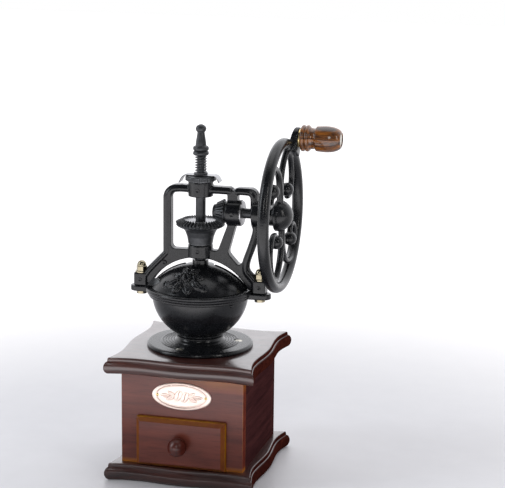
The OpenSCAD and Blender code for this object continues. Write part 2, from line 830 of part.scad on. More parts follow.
// Spring steel strip whose ends bend down beside the nut
module stopper_strip() {
  color([0.82, 0.82, 0.8]) on_top() difference() {
    translate([0, strip_half, strip_up]) rotate([90, 0, 0]) linear_extrude(2 * strip_half)
      polygon([
        [-12, 0], [12, 0], [14, -1.6], [15.7, -4.9], [16.6, -4.5], [14.8, -1], [12.6, strip_t],
        [-12.6, strip_t], [-14.8, -1], [-17.4, -5.9], [-16.6, -6.3], [-14, -1.6]]);
    translate([0, 0, strip_up - 1]) cylinder(r = shaft_r + 0.3, h = 3);
  }
}

module spring_seat() {
  color([0.15, 0.15, 0.16]) on_top() ring(5.5, rod_r + 0.08, seat_up, spring_up[0] - 0.05);
}

coil_r = 3.8;
wire_sides = 6;
turn_steps = 16;

// One ring of the wire's section at step i along the coil
function coil_ring(i) =
  let (a = 360 * i / turn_steps, n = spring_turns * turn_steps,
    z = spring_up[0] + wire_r + (spring_up[1] - spring_up[0] - 2 * wire_r) * i / n)
  [for (s = [0:wire_sides - 1]) let (b = 360 * s / wire_sides, r = coil_r + wire_r * cos(b))
    [r * cos(a), r * sin(a), z + wire_r * sin(b)]];

module coil_spring() {
  n = spring_turns * turn_steps;
  points = [for (i = [0:n]) each coil_ring(i)];
  sides = [for (i = [0:n - 1]) for (s = [0:wire_sides - 1])
    let (t = (s + 1) % wire_sides, p = i * wire_sides, q = p + wire_sides) each [
      [p + s, q + t, q + s], [p + s, p + t, q + t]]];
  first = [for (s = [0:wire_sides - 1]) s];
  last = [for (s = [wire_sides - 1:-1:0]) n * wire_sides + s];
  color([0.2, 0.2, 0.21]) on_top() polyhedron(points, concat(sides, [first], [last]), convexity = 10);
}

module spring_collar() {
  color([0.13, 0.13, 0.14]) on_top() rotate_extrude() polygon([
    [rod_r + 0.08, 155.05], [5.2, 155.05], [6.3, 156], [6.4, 157.4], [5.6, 158.7], [rod_r + 0.08, 158.7]]);
}

module finial() {
  color([0.13, 0.13, 0.14]) on_top() difference() {
    union() {
      rotate_extrude() polygon([
        [0, 158.8], [5.4, 158.8], [6.3, 159.8], [6.4, 161], [5.8, 162.2], [4.4, 162.8],
        [4.1, 165], [3.2, 170], [2.8, 173.4], [2.6, 175], [0, 175]]);
      translate([0, 0, 175.9]) intersection() {
        sphere(r = 4.3);
        translate([0, 0, -3]) cylinder(r = 5, h = 6.1);
      }
    }
    translate([0, 0, 158]) cylinder(r = rod_r + fit_gap, h = 7);
  }
}

base_board();
top_board();
front_wall();
back_wall();
left_wall();
right_wall();
corner_blocks();
base_screws();
drawer_guides();
oval_plate();
plate_nails();
drawer_front();
drawer_left_side();
drawer_right_side();
drawer_back();
drawer_bottom();
drawer_knob();
knob_screw();
mill_bowl();
flange_screws();
ring_burr();
bowl_cover();
lid();
bridge();
ear_bolts();
ear_washers();
acorn_nuts();
crank_washers();
thrust_washer();
crank_shaft();
pinion();
pinion_pin();
flywheel();
wheel_set_screw();
crank_pin();
grip_washer();
grip();
ring_gear();
main_shaft();
cone_burr();
burr_nut();
adjusting_nut();
stopper_strip();
spring_seat();
coil_spring();
spring_collar();
finial();
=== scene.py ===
import json
import math

import bmesh
import bpy
from mathutils import Matrix, Vector


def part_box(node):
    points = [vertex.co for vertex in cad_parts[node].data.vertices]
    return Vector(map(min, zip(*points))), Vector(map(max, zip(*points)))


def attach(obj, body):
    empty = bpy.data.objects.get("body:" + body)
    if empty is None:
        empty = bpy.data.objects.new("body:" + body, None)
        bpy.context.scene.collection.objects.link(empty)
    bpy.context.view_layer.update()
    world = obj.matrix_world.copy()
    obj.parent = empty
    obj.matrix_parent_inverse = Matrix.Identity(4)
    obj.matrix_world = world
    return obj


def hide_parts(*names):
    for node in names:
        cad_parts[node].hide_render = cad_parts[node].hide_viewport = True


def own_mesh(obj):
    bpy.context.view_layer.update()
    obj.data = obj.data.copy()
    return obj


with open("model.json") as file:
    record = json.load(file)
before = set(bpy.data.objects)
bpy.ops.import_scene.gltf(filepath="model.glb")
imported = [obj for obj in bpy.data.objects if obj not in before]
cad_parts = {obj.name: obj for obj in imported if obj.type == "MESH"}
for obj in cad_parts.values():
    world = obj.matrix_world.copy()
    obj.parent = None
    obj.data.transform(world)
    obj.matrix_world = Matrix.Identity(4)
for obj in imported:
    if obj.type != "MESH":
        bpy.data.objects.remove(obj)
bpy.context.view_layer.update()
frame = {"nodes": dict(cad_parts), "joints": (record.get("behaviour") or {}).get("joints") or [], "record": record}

MM = 0.001


def low_of(node):
    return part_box(node)[0] / MM


def high_of(node):
    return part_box(node)[1] / MM


def joint_point(name):
    """The point that a joint turns about, in millimetres."""
    row = next(j for j in frame["joints"] if j["name"] == name)
    return Vector(row["pos_m"]) / MM


TOP = high_of("top_board").z
CRANK_Z = joint_point("crank_spin").z
PIVOT = joint_point("handle_spin")


# ---- Meshes ----

def shown(name, data):
    """An object in the scene that holds a mesh, a light or a camera."""
    made = bpy.data.objects.new(name, data)
    bpy.context.scene.collection.objects.link(made)
    return made


def make(name, points, faces):
    """A mesh object from points in millimetres."""
    mesh = bpy.data.meshes.new(name)
    mesh.from_pydata([Vector(p) * MM for p in points], [], faces)
    return shown(name, mesh)


def baked(name, work):
    """An object from an edited mesh, which is let go."""
    mesh = bpy.data.meshes.new(name)
    work.to_mesh(mesh)
    work.free()
    return shown(name, mesh)


def rings(rows, count):
    """Faces of a closed skin: quads between rings of count points, and a face on each end."""
    faces = []
    for k in range(rows - 1):
        for i in range(count):
            j = (i + 1) % count
            faces.append((k * count + i, k * count + j, (k + 1) * count + j, (k + 1) * count + i))
    faces.append(tuple(reversed(range(count))))
    faces.append(tuple((rows - 1) * count + i for i in range(count)))
    return faces


def arc(radius, low, high, step, centre=(0, 0)):
    """Points on a circle from one angle up to another."""
    return [(centre[0] + radius * math.cos(math.radians(a)), centre[1] + radius * math.sin(math.radians(a)))
            for a in range(low, high, step)]


def settle(piece, sharp=35):
    """Merges seams, turns normals outward and shades smooth up to the sharp angle."""
    work = bmesh.new()
    work.from_mesh(piece.data)
    bmesh.ops.remove_doubles(work, verts=work.verts, dist=0.002 * MM)
    bmesh.ops.dissolve_degenerate(work, edges=work.edges, dist=0.0005 * MM)
    bmesh.ops.recalc_face_normals(work, faces=work.faces)
    work.to_mesh(piece.data)
    work.free()
    piece.data.shade_smooth()
    piece.data.set_sharp_from_angle(angle=math.radians(sharp))
    return piece


def flattened(piece):
    """Keeps broad flat faces flat-shaded beside their rounded edges."""
    even = piece.modifiers.new("Even", "WEIGHTED_NORMAL")
    even.keep_sharp = True
    even.weight = 100
    return applied(piece)


def moved(piece, matrix):
    """Moves a piece's points by a matrix in millimetres."""
    scaled = matrix.copy()
    scaled.translation *= MM
    piece.data.transform(scaled)
    return piece


def applied(piece):
    """The piece with its modifiers worked into its mesh."""
    graph = bpy.context.evaluated_depsgraph_get()
    mesh = bpy.data.meshes.new_from_object(piece.evaluated_get(graph))
    piece.modifiers.clear()
    piece.data = mesh
    return piece


def joined(name, parts):
    """One object that holds all the parts."""
    work = bmesh.new()
    for part in parts:
        work.from_mesh(part.data)
        bpy.data.objects.remove(part)
    return baked(name, work)


def copy_of(node):
    """A loose copy of a CAD node's mesh, with its split vertices merged."""
    mesh = frame["nodes"][node].data.copy()
    mesh.materials.clear()
    work = bmesh.new()
    work.from_mesh(mesh)
    bmesh.ops.remove_doubles(work, verts=work.verts, dist=0.002 * MM)
    work.to_mesh(mesh)
    work.free()
    return shown("copy", mesh)


def eased(node, width, steps=3, sharp=30):
    """A CAD node's shape with its sharp edges rounded."""
    piece = copy_of(node)
    piece.name = node + "_eased"
    flat = piece.modifiers.new("Flat", "DECIMATE")
    flat.decimate_type = "DISSOLVE"
    flat.angle_limit = math.radians(0.5)
    ease = piece.modifiers.new("Ease", "BEVEL")
    ease.width = width * MM
    ease.segments = steps
    ease.limit_method = "ANGLE"
    ease.angle_limit = math.radians(sharp)
    applied(piece)
    return flattened(settle(piece, 50))


def cast(name, parts, voxel, rounds):
    """A casting: the parts fused into one skin, then smoothed so that edges and joins are round."""
    piece = joined(name, parts)
    skin = piece.modifiers.new("Skin", "REMESH")
    skin.mode = "VOXEL"
    skin.voxel_size = voxel * MM
    soft = piece.modifiers.new("Round", "SMOOTH")
    soft.factor = 0.5
    soft.iterations = rounds
    applied(piece)
    return settle(piece, 180)


def rounded(outline, radius, steps=4, closed=True):
    """The outline with each corner off the axis turned into a short curve."""
    made = []
    last = len(outline) - 1
    for i, corner in enumerate(outline):
        here = Vector(corner)
        if here.x == 0 or (not closed and i in (0, last)):
            made.append(here)
            continue
        back = Vector(outline[i - 1]) - here
        on = Vector(outline[(i + 1) % (last + 1)]) - here
        start = here + back.normalized() * min(radius, back.length * 0.45)
        end = here + on.normalized() * min(radius, on.length * 0.45)
        for k in range(steps + 1):
            t = k / steps
            made.append(start * (1 - t) ** 2 + here * 2 * t * (1 - t) + end * t * t)
    return made


def curve(points, steps):
    """A smooth open curve through the points."""
    p = [Vector(q) for q in points]
    last = len(p) - 1
    made = []
    for i in range(last):
        a, b, c, d = p[max(i - 1, 0)], p[i], p[i + 1], p[min(i + 2, last)]
        for k in range(steps):
            t = k / steps
            made.append(0.5 * (2 * b + (c - a) * t + (2 * a - 5 * b + 4 * c - d) * t * t
                               + (3 * b - a - 3 * c + d) * t ** 3))
    made.append(p[last])
    return made


def lathe(name, profile, steps=128, sharp=35):
    """A solid turned about Z from an outline of (radius, height)."""
    count = len(profile)
    points = [(p[0] * math.cos(a), p[0] * math.sin(a), p[1])
              for a in (math.tau * j / steps for j in range(steps)) for p in profile]
    open_axis = profile[0][0] == 0 and profile[-1][0] == 0
    faces = []
    for j in range(steps):
        here, there = j * count, (j + 1) % steps * count
        for i in range(count - 1 if open_axis else count):
            k = (i + 1) % count
            faces.append((here + i, there + i, there + k, here + k))
    return settle(make(name, points, faces), sharp)


def tube(name, path, radii, level, sides=14, wide=1.0):
    """A closed bar along a path. level is a direction that its wide side stays square to."""
    last = len(path) - 1
    points = []
    for i, p in enumerate(path):
        ahead = (path[min(i + 1, last)] - path[max(i - 1, 0)]).normalized()
        side = ahead.cross(level).normalized()
        rise = side.cross(ahead)
        r = radii(i / last)
        for s in range(sides):
            a = math.tau * s / sides
            points.append(p + side * (r * math.cos(a)) + rise * (wide * r * math.sin(a)))
    return settle(make(name, points, rings(len(path), sides)), 60)


def ball(name, centre, radius):
    work = bmesh.new()
    bmesh.ops.create_icosphere(work, subdivisions=4, radius=radius * MM)
    return moved(baked(name, work), shift(*centre))


def slab(name, low, high, ease=0.5):
    """A block with rounded edges between two corners."""
    work = bmesh.new()
    bmesh.ops.create_cube(work, size=1)
    size = Vector(high) - Vector(low)
    centre = (Vector(high) + Vector(low)) / 2
    work.transform(Matrix.Translation(centre * MM) @ Matrix.Diagonal([s * MM for s in size] + [1]))
    bmesh.ops.bevel(work, geom=work.edges[:], offset=ease * MM, segments=3, profile=0.6,
                    affect="EDGES")
    return settle(baked(name, work), 40)


def drilled(piece, cutters):
    """The piece with the cutters' shapes taken out of it."""
    tool = joined("tool", cutters)
    cut = piece.modifiers.new("Cut", "BOOLEAN")
    cut.operation = "DIFFERENCE"
    cut.object = tool
    applied(piece)
    bpy.data.objects.remove(tool)
    return settle(piece)


def shift(x, y, z):
    return Matrix.Translation((x, y, z))


def pointed(radius, angle, up=0.0):
    """A place on a circle about the main shaft, at a height."""
    a = math.radians(angle)
    return shift(radius * math.cos(a), radius * math.sin(a), up)


ALONG_X = Matrix.Rotation(math.radians(90), 4, "Y")
FACING_FRONT = Matrix.Rotation(math.radians(90), 4, "X")


# ---- Material nodes ----

def start(name):
    """A new material's node tree and its main shader."""
    material = bpy.data.materials.new(name)
    material.use_nodes = True
    tree = material.node_tree
    return material, tree, tree.nodes["Principled BSDF"]


def feed(tree, socket, value):
    """Links a socket to another node's output, or sets its own value."""
    if isinstance(value, bpy.types.NodeSocket):
        tree.links.new(value, socket)
    elif socket.type == "RGBA" and len(value) == 3:
        socket.default_value = (*value, 1)
    else:
        socket.default_value = value


def put(tree, node, **inputs):
    """Feeds a node's named inputs. An underscore stands for a space in a name."""
    for key, value in inputs.items():
        feed(tree, node.inputs[key.replace("_", " ")], value)


def add(tree, kind, settings=None, **inputs):
    """A node with its settings made and its inputs fed."""
    node = tree.nodes.new("ShaderNode" + kind)
    for key, value in (settings or {}).items():
        setattr(node, key, value)
    put(tree, node, **inputs)
    return node


def place(tree, scale):
    """The piece's own coordinates, stretched."""
    here = add(tree, "TexCoord").outputs["Object"]
    return add(tree, "Mapping", Vector=here, Scale=scale).outputs["Vector"]


def grain(tree, scale, detail=4.0, rough=0.6, warp=0.0):
    """A noise value from 0 to 1 at a scale in cycles per metre along each axis."""
    return add(tree, "TexNoise", Vector=place(tree, scale), Scale=1.0, Detail=detail,
               Roughness=rough, Distortion=warp).outputs["Fac"]


def remap(tree, value, low, high, to_low=0.0, to_high=1.0):
    return add(tree, "MapRange", Value=value, From_Min=low, From_Max=high, To_Min=to_low,
               To_Max=to_high).outputs["Result"]


def combined(tree, operation, *values):
    """The result of a sum on one or two values."""
    made = add(tree, "Math", {"operation": operation})
    for socket, value in zip(made.inputs, values):
        feed(tree, socket, value)
    return made.outputs["Value"]


def times(tree, a, b):
    return combined(tree, "MULTIPLY", a, b)


def blend(tree, share, a, b):
    """Colour a turning into colour b as share goes from 0 to 1."""
    made = tree.nodes.new("ShaderNodeMix")
    made.data_type = "RGBA"
    for index, value in ((0, share), (6, a), (7, b)):
        feed(tree, made.inputs[index], value)
    return made.outputs[2]


def facing(tree, normal, axis):
    """How squarely a face looks along an axis, either way, from 0 to 1."""
    split = add(tree, "SeparateXYZ", Vector=add(tree, "NewGeometry").outputs[normal])
    return combined(tree, "ABSOLUTE", split.outputs[axis])


def edges(tree, width, low=0.02, high=0.25):
    """A share that is 1 on edges and 0 on open faces."""
    soft = add(tree, "Bevel", {"samples": 6}, Radius=width * MM).outputs["Normal"]
    true = add(tree, "NewGeometry").outputs["Normal"]
    dot = add(tree, "VectorMath", {"operation": "DOT_PRODUCT"})
    tree.links.new(soft, dot.inputs[0])
    tree.links.new(true, dot.inputs[1])
    return remap(tree, dot.outputs["Value"], 1 - low, 1 - high)


def bumped(tree, shader, height, strength, depth):
    made = add(tree, "Bump", Height=height, Strength=strength, Distance=depth * MM)
    tree.links.new(made.outputs["Normal"], shader.inputs["Normal"])


def band(tree, axis, low, high):
    """A share that rises from 0 to 1 as the piece's own coordinate goes from low to high."""
    here = add(tree, "TexCoord").outputs["Object"]
    split = add(tree, "SeparateXYZ", Vector=here)
    return remap(tree, split.outputs[axis], low * MM, high * MM)


def stretch(axis, along, across):
    """A scale with the grain running along one axis."""
    return tuple(along if i == axis else across for i in range(3))


def lacquered_wood(name, axis, dark, light, worn, wear=1.0, coat=0.6, shine=0.25, blur=0.14):
    """Stained hardwood under clear lacquer: streaks, pores, and edges where the stain is thin.
    The coat and shine are turned down on faces that look to either side, a painted shade that darkens those sides."""
    material, tree, shader = start(name)
    streaks = grain(tree, stretch(axis, 12, 190), 5.0, 0.6, 0.6)
    clouds = grain(tree, (22, 22, 22), 2.0)
    pores = remap(tree, grain(tree, stretch(axis, 90, 2200), 2.0), 0.56, 0.7)
    stain = blend(tree, remap(tree, streaks, 0.3, 0.7), dark, light)
    stain = blend(tree, remap(tree, clouds, 0.35, 0.75, 0.0, 0.45), stain, dark)
    stain = blend(tree, times(tree, pores, 0.55), stain, tuple(c * 0.35 for c in dark))
    rub = times(tree, edges(tree, 1.6), remap(tree, grain(tree, (70, 70, 70), 3.0), 0.35, 0.65))
    stain = blend(tree, times(tree, rub, wear), stain, worn)
    rough = remap(tree, grain(tree, (40, 40, 40), 3.0), 0.3, 0.7, 0.34, 0.46)
    # Painted shade: less coat and shine on faces that look along X, so the sides read darker.
    gloss = remap(tree, facing(tree, "True Normal", "X"), 0.25, 0.7, 1.0, 0.0)
    put(tree, shader, Base_Color=stain, Roughness=rough, Coat_Weight=times(tree, gloss, coat),
        Coat_Roughness=blur, Coat_IOR=1.5, Specular_IOR_Level=times(tree, gloss, shine))
    bumped(tree, shader, pores, 0.25, 0.05)
    return material, tree, shader, stain


def restained(parts, share, colour):
    """Adds a further colour over a wood material where share is 1."""
    material, tree, shader, stain = parts
    tree.links.new(blend(tree, share, stain, colour), shader.inputs["Base Color"])
    return material


RED_BROWN = (0.15, 0.034, 0.020)
AMBER = (0.42, 0.15, 0.02)
GOLDEN = (0.30, 0.13, 0.008)


def board_wood():
    return lacquered_wood("board_wood", 0, (0.022, 0.005, 0.004), (0.062, 0.014, 0.009),
                          (0.16, 0.04, 0.02), 0.2, 0.85, 0.4, 0.12)[0]


def front_wood():
    """The front wall, paler under the upper board and at its foot, where the stain is thin."""
    parts = lacquered_wood("front_wood", 0, (0.075, 0.016, 0.012), RED_BROWN, AMBER, 0.5, 0.4, 0.15)
    tree = parts[1]
    thin = band(tree, "Z", TOP - 24, TOP - 13)
    side = band(tree, "X", -20, 30)
    patch = times(tree, times(tree, thin, side), grain(tree, (30, 60, 60), 3.0))
    foot = times(tree, band(tree, "Z", 17.5, 14), 0.7)
    return restained(parts, combined(tree, "MAXIMUM", times(tree, patch, 0.9), foot), AMBER)


def side_wood():
    return lacquered_wood("side_wood", 1, (0.026, 0.009, 0.010), (0.060, 0.020, 0.020),
                          (0.20, 0.07, 0.03), 0.5, 0.12, 0.1, 0.3)[0]


def drawer_wood():
    """The drawer front: its eased edges show golden wood through the thin stain."""
    parts = lacquered_wood("drawer_wood", 0, (0.085, 0.019, 0.013), RED_BROWN, AMBER, 0.3, 0.4, 0.15)
    tree = parts[1]
    sides = remap(tree, facing(tree, "Normal", "Y"), 0.80, 0.45)
    mottle = remap(tree, grain(tree, (120, 120, 120), 4.0), 0.3, 0.6, 0.45, 1.0)
    return restained(parts, times(tree, sides, mottle), GOLDEN)


def knob_wood():
    return lacquered_wood("knob_wood", 1, (0.038, 0.008, 0.006), (0.085, 0.018, 0.012),
                          (0.2, 0.07, 0.03), 0.2, 0.5, 0.2, 0.22)[0]


def inner_wood():
    """Plain pale wood inside the box and the drawer."""
    material, tree, shader = start("inner_wood")
    streaks = grain(tree, (14, 160, 160), 5.0, 0.6, 0.8)
    fine = grain(tree, (80, 1500, 1500), 2.0)
    wood = blend(tree, remap(tree, streaks, 0.3, 0.7), (0.42, 0.25, 0.12), (0.58, 0.39, 0.21))
    wood = blend(tree, remap(tree, fine, 0.5, 0.8, 0.0, 0.4), wood, (0.28, 0.15, 0.07))
    put(tree, shader, Base_Color=wood, Roughness=remap(tree, fine, 0.3, 0.7, 0.6, 0.75))
    bumped(tree, shader, fine, 0.3, 0.05)
    return material


def grip_wood():
    """Glossy amber-brown turned wood with its figure along the grip."""
    material, tree, shader = start("grip_wood")
    figure = grain(tree, (16, 150, 150), 5.0, 0.65, 1.4)
    fine = grain(tree, (60, 900, 900), 3.0)
    wood = blend(tree, remap(tree, figure, 0.40, 0.62), (0.024, 0.007, 0.002), (0.21, 0.066, 0.004))
    wood = blend(tree, remap(tree, fine, 0.45, 0.75, 0.0, 0.5), wood, (0.03, 0.009, 0.003))
    put(tree, shader, Base_Color=wood, Roughness=remap(tree, fine, 0.3, 0.7, 0.4, 0.52),
        Specular_IOR_Level=0.25, Coat_Weight=0.8, Coat_Roughness=0.1)
    bumped(tree, shader, fine, 0.1, 0.04)
    return material


def black_iron(name="black_iron", pebble=0.04, rough=0.23):
    """Satin black enamel on cast iron, thinner and greyer on the edges."""
    material, tree, shader = start(name)
    sand = grain(tree, (620, 620, 620), 3.0)
    lumps = grain(tree, (110, 110, 110), 3.0)
    wear = times(tree, edges(tree, 0.9), remap(tree, lumps, 0.35, 0.65, 0.2, 1.0))
    colour = blend(tree, remap(tree, lumps, 0.3, 0.7), (0.003, 0.0033, 0.004), (0.0065, 0.007, 0.0085))
    colour = blend(tree, times(tree, wear, 0.5), colour, (0.045, 0.049, 0.055))
    put(tree, shader, Base_Color=colour, Specular_IOR_Level=0.30,
        Roughness=remap(tree, sand, 0.3, 0.7, rough - 0.05, rough + 0.07))
    bumped(tree, shader, blend(tree, 0.35, sand, lumps), pebble, 0.25)
    return material


def dark_steel():
    """Blackened steel with bright rubbed edges and fine turning marks."""
    material, tree, shader = start("dark_steel")
    marks = grain(tree, (60, 60, 2400), 2.0)
    lumps = grain(tree, (160, 160, 160), 3.0)
    colour = blend(tree, remap(tree, lumps, 0.3, 0.7), (0.018, 0.019, 0.021), (0.040, 0.042, 0.046))
    wear = times(tree, edges(tree, 0.5), remap(tree, lumps, 0.3, 0.6, 0.3, 1.0))
    colour = blend(tree, times(tree, wear, 0.8), colour, (0.24, 0.25, 0.26))
    put(tree, shader, Base_Color=colour, Metallic=0.55,
        Roughness=remap(tree, marks, 0.3, 0.7, 0.34, 0.48))
    bumped(tree, shader, marks, 0.12, 0.04)
    return material


def metal(name, colour, tarnish, rough, mark=900):
    """Bare or plated metal: fine brushing, and tarnish in cloudy patches."""
    material, tree, shader = start(name)
    marks = grain(tree, (mark, mark, mark), 2.0)
    clouds = grain(tree, (90, 90, 90), 4.0)
    tone = blend(tree, remap(tree, clouds, 0.45, 0.75, 0.0, 0.6), colour, tarnish)
    tone = blend(tree, times(tree, edges(tree, 0.35), 0.4), tone, tuple(min(1, c * 1.2) for c in colour))
    put(tree, shader, Base_Color=tone, Metallic=1.0,
        Roughness=remap(tree, marks, 0.3, 0.7, rough - 0.06, rough + 0.1))
    bumped(tree, shader, marks, 0.1, 0.03)
    return material


def plate_metal():
    """Rose-gold plating, with painted shade in the hollows round the ornament and a painted highlight on its
    raised edges.
    """
    material, tree, shader = start("plate_metal")
    clouds = grain(tree, (90, 90, 90), 4.0)
    marks = grain(tree, (500, 500, 500), 2.0)
    point = add(tree, "NewGeometry").outputs["Pointiness"]
    tone = blend(tree, remap(tree, clouds, 0.45, 0.75, 0.0, 0.4), (0.93, 0.77, 0.69), (0.80, 0.58, 0.50))
    # Painted shade: hollows, found by pointiness, are darkened.
    tone = blend(tree, remap(tree, point, 0.496, 0.470), tone, (0.30, 0.14, 0.09))
    # Painted highlight: raised edges, found by pointiness, are made near white.
    tone = blend(tree, remap(tree, point, 0.51, 0.56, 0.0, 0.7), tone, (1.0, 0.93, 0.88))
    put(tree, shader, Base_Color=tone, Metallic=0.7, Roughness=remap(tree, marks, 0.3, 0.7, 0.34, 0.5))
    bumped(tree, shader, marks, 0.1, 0.03)
    return material


MATERIAL = {
    "board_wood": board_wood(),
    "wall_wood": side_wood(),
    "front_wood": front_wood(),
    "drawer_wood": drawer_wood(),
    "knob_wood": knob_wood(),
    "inner_wood": inner_wood(),
    "grip_wood": grip_wood(),
    "plate_metal": plate_metal(),
    "nail_brass": metal("nail_brass", (0.80, 0.62, 0.30), (0.35, 0.22, 0.08), 0.28),
    "zinc_screw": metal("zinc_screw", (0.62, 0.60, 0.54), (0.35, 0.32, 0.26), 0.35),
    "black_iron": black_iron(),
    "wheel_iron": black_iron("wheel_iron", 0.30, 0.25),
    "dark_steel": dark_steel(),
    "burr_steel": metal("burr_steel", (0.36, 0.36, 0.38), (0.15, 0.13, 0.12), 0.35, 300),
    "bright_steel": metal("bright_steel", (0.34, 0.34, 0.35), (0.18, 0.18, 0.18), 0.35, 1500),
    "pale_nickel": metal("pale_nickel", (0.27, 0.24, 0.17), (0.10, 0.085, 0.05), 0.2, 700),
}


def fit(piece, name, body, slot, look, *nodes):
    """Names a piece, gives it its look and fixes it to its body, in place of CAD nodes."""
    piece.name = name
    piece.data.name = name
    piece.data.materials.clear()
    piece.data.materials.append(MATERIAL[look or slot])
    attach(piece, body)
    if nodes:
        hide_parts(*nodes)
    return piece


# CAD nodes that stay get their slot's material
for row in frame["record"]["subparts"]:
    for slot in frame["nodes"][row["node"]].material_slots:
        slot.material = MATERIAL[row["material_slot"]]


# ---- Wooden box ----

CORNER_HALF = high_of("top_board").x
SIDE_STEPS = 30
WAIST_AT = 0.6
WAIST_DROP = 3.8
MID_DROP = 1.4
SIDE_END = 0.982


def wave(u):
    """Half side of a board along its edge: u is 0 at the middle and 1 at the corner."""
    low = CORNER_HALF - WAIST_DROP
    if u < WAIST_AT:
        return low + (WAIST_DROP - MID_DROP) * (1 + math.cos(math.pi * u / WAIST_AT)) / 2
    return low + WAIST_DROP * (1 - math.cos(math.pi / 2 * (u - WAIST_AT) / (1 - WAIST_AT)))


def board_outline(inset):
    """The waved square with rounded corners, moved in by inset."""
    made = []
    for turn in range(4):
        c, s = round(math.cos(math.pi / 2 * turn)), round(math.sin(math.pi / 2 * turn))
        side = []
        for i in range(-SIDE_STEPS, SIDE_STEPS + 1):
            u = SIDE_END * i / SIDE_STEPS
            side.append((wave(abs(u)) - inset, u * (CORNER_HALF - inset)))
        end = Vector(side[-1])
        tip = Vector((end.x, end.x))
        for k in range(1, 6):
            t = k / 6
            side.append(tuple(end * (1 - t) ** 2 + tip * 2 * t * (1 - t) + end.yx * t * t))
        made += [(x * c - y * s, x * s + y * c) for x, y in side]
    return made


def moulding(t):
    """Edge profile as (inset, height): a bullnose, a quirk and a small cove to the flat top."""
    nose = 3.2
    middle = 0.39 * t
    inner, nose_steps, nose_sweep = 9.0, 14, 167
    made = [(inner, 0.0)]
    for k in range(nose_steps + 1):
        a = math.radians(-90 + nose_sweep * k / nose_steps)
        made.append((nose * (1 - math.cos(a)), middle * (1 + math.sin(a))))
    made += [(2.66, 0.79 * t), (2.62, 0.84 * t), (2.7, 0.90 * t), (2.86, 0.94 * t),
             (3.05, 0.972 * t), (3.4, 0.992 * t), (3.9, t), (inner, t)]
    return made


def board(name, node, holes):
    """A moulded board with its screw holes."""
    bottom, thickness = low_of(node).z, high_of(node).z - low_of(node).z
    rows = moulding(thickness)
    points = [(x, y, bottom + z) for inset, z in rows for x, y in board_outline(inset)]
    piece = settle(make(name, points, rings(len(rows), len(board_outline(0)))), 28)
    piece = flattened(drilled(piece, holes))
    return fit(piece, name, "mill_frame", "board_wood", None, node)


def countersink(x, y):
    """Cutter for a screw that goes up through the base board."""
    profile = [(0, -1), (3.5, -1), (3.5, 0.6), (1.65, 2.6), (1.65, 15), (0, 15)]
    return moved(lathe("cutter", profile, 24), shift(x, y, 0))


BASE_SCREW_AT = high_of("base_screws").x - 3.4
SCREW_RING_R = 31.0
SCREW_ANGLES = (15, 135, 255)


def screw_hole(angle):
    """Cutter for a flange screw's hole in the upper board."""
    profile = [(0, TOP - 11), (1.8, TOP - 11), (1.8, TOP + 1), (0, TOP + 1)]
    return moved(lathe("cutter", profile, 20), pointed(SCREW_RING_R, angle))


corners = [(sx * BASE_SCREW_AT, sy * BASE_SCREW_AT) for sx in (-1, 1) for sy in (-1, 1)]
throat = lathe("cutter", [(0, 80), (17, 80), (17, 110), (0, 110)], 64)
board("base_moulding", "base_board", [countersink(*at) for at in corners])
board("top_moulding", "top_board", [throat] + [screw_hole(a) for a in SCREW_ANGLES])

fit(eased("front_wall", 0.2), "front_panel", "mill_frame", "wall_wood", "front_wood", "front_wall")
for wall in ("back_wall", "left_wall", "right_wall"):
    fit(eased(wall, 0.2), wall.replace("wall", "panel"), "mill_frame", "wall_wood", None, wall)

fit(eased("drawer_front", 1.3, 4, 20), "drawer_panel", "drawer", "wall_wood", "drawer_wood", "drawer_front")
for node in ("drawer_left_side", "drawer_right_side", "drawer_back", "drawer_bottom"):
    fit(eased(node, 0.4), node + "_board", "drawer", "inner_wood", None, node)


def knob():
    """The turned drawer knob, made about Z and then turned to face the front."""
    r = 7.4
    face = high_of("drawer_knob").y
    middle_z = (high_of("drawer_knob").z + low_of("drawer_knob").z) / 2
    centre, tip = 6.5, 13.8
    outline = [(0, 0), (4.5, 0), (4.7, 0.5), (4.4, 1.4), (3.5, 1.9), (3.3, 2.6)]
    piece = lathe("knob", outline + arc(r, -52, 84, 6, (0, centre)) + [(0, tip)], 96, 60)
    moved(piece, shift(0, face, middle_z) @ FACING_FRONT)
    return fit(piece, "turned_knob", "drawer", "wall_wood", "knob_wood", "drawer_knob")


knob()


# ---- Ornament shared by the plate and the lid ----

def leaf(x, y, at, angle, length, width, height):
    """Height of a veined leaf at a point: it starts at a stem point and runs along an angle."""
    a = math.radians(angle)
    dx, dy = x - at[0], y - at[1]
    u = (dx * math.cos(a) + dy * math.sin(a)) / length
    v = -dx * math.sin(a) + dy * math.cos(a)
    if not 0 < u < 1:
        return 0.0
    half = width * max(0, math.sin(math.pi * u ** 0.8)) ** 0.8
    if abs(v) >= half:
        return 0.0
    vein = 0.35 * math.exp(-(v / (0.12 * width)) ** 2)
    return height * (1 - (v / half) ** 2) ** 0.6 * (1 - vein)


def bean(x, y, at, angle, length, width, height):
    """Height of a coffee bean with its curved groove."""
    a = math.radians(angle)
    dx, dy = x - at[0], y - at[1]
    u = (dx * math.cos(a) + dy * math.sin(a)) / (length / 2)
    v = (-dx * math.sin(a) + dy * math.cos(a)) / (width / 2)
    inside = 1 - u * u - v * v
    if inside <= 0:
        return 0.0
    groove = math.exp(-((v - 0.22 * math.sin(math.pi * u)) / 0.16) ** 2)
    return height * inside ** 0.5 * (1 - 0.7 * groove)


def sprig(x, y, side, height):
    """Height of three leaves on a stem, to one side of the middle."""
    best = 0.0
    for along, turn, size in ((5.6, 38, 6.6), (6.6, -30, 6.4), (10.4, 6, 6.6)):
        angle = turn if side > 0 else 180 - turn
        best = max(best, leaf(x, y, (side * along, -0.4), angle, size, 1.7, height))
    return best


# ---- Oval plate ----

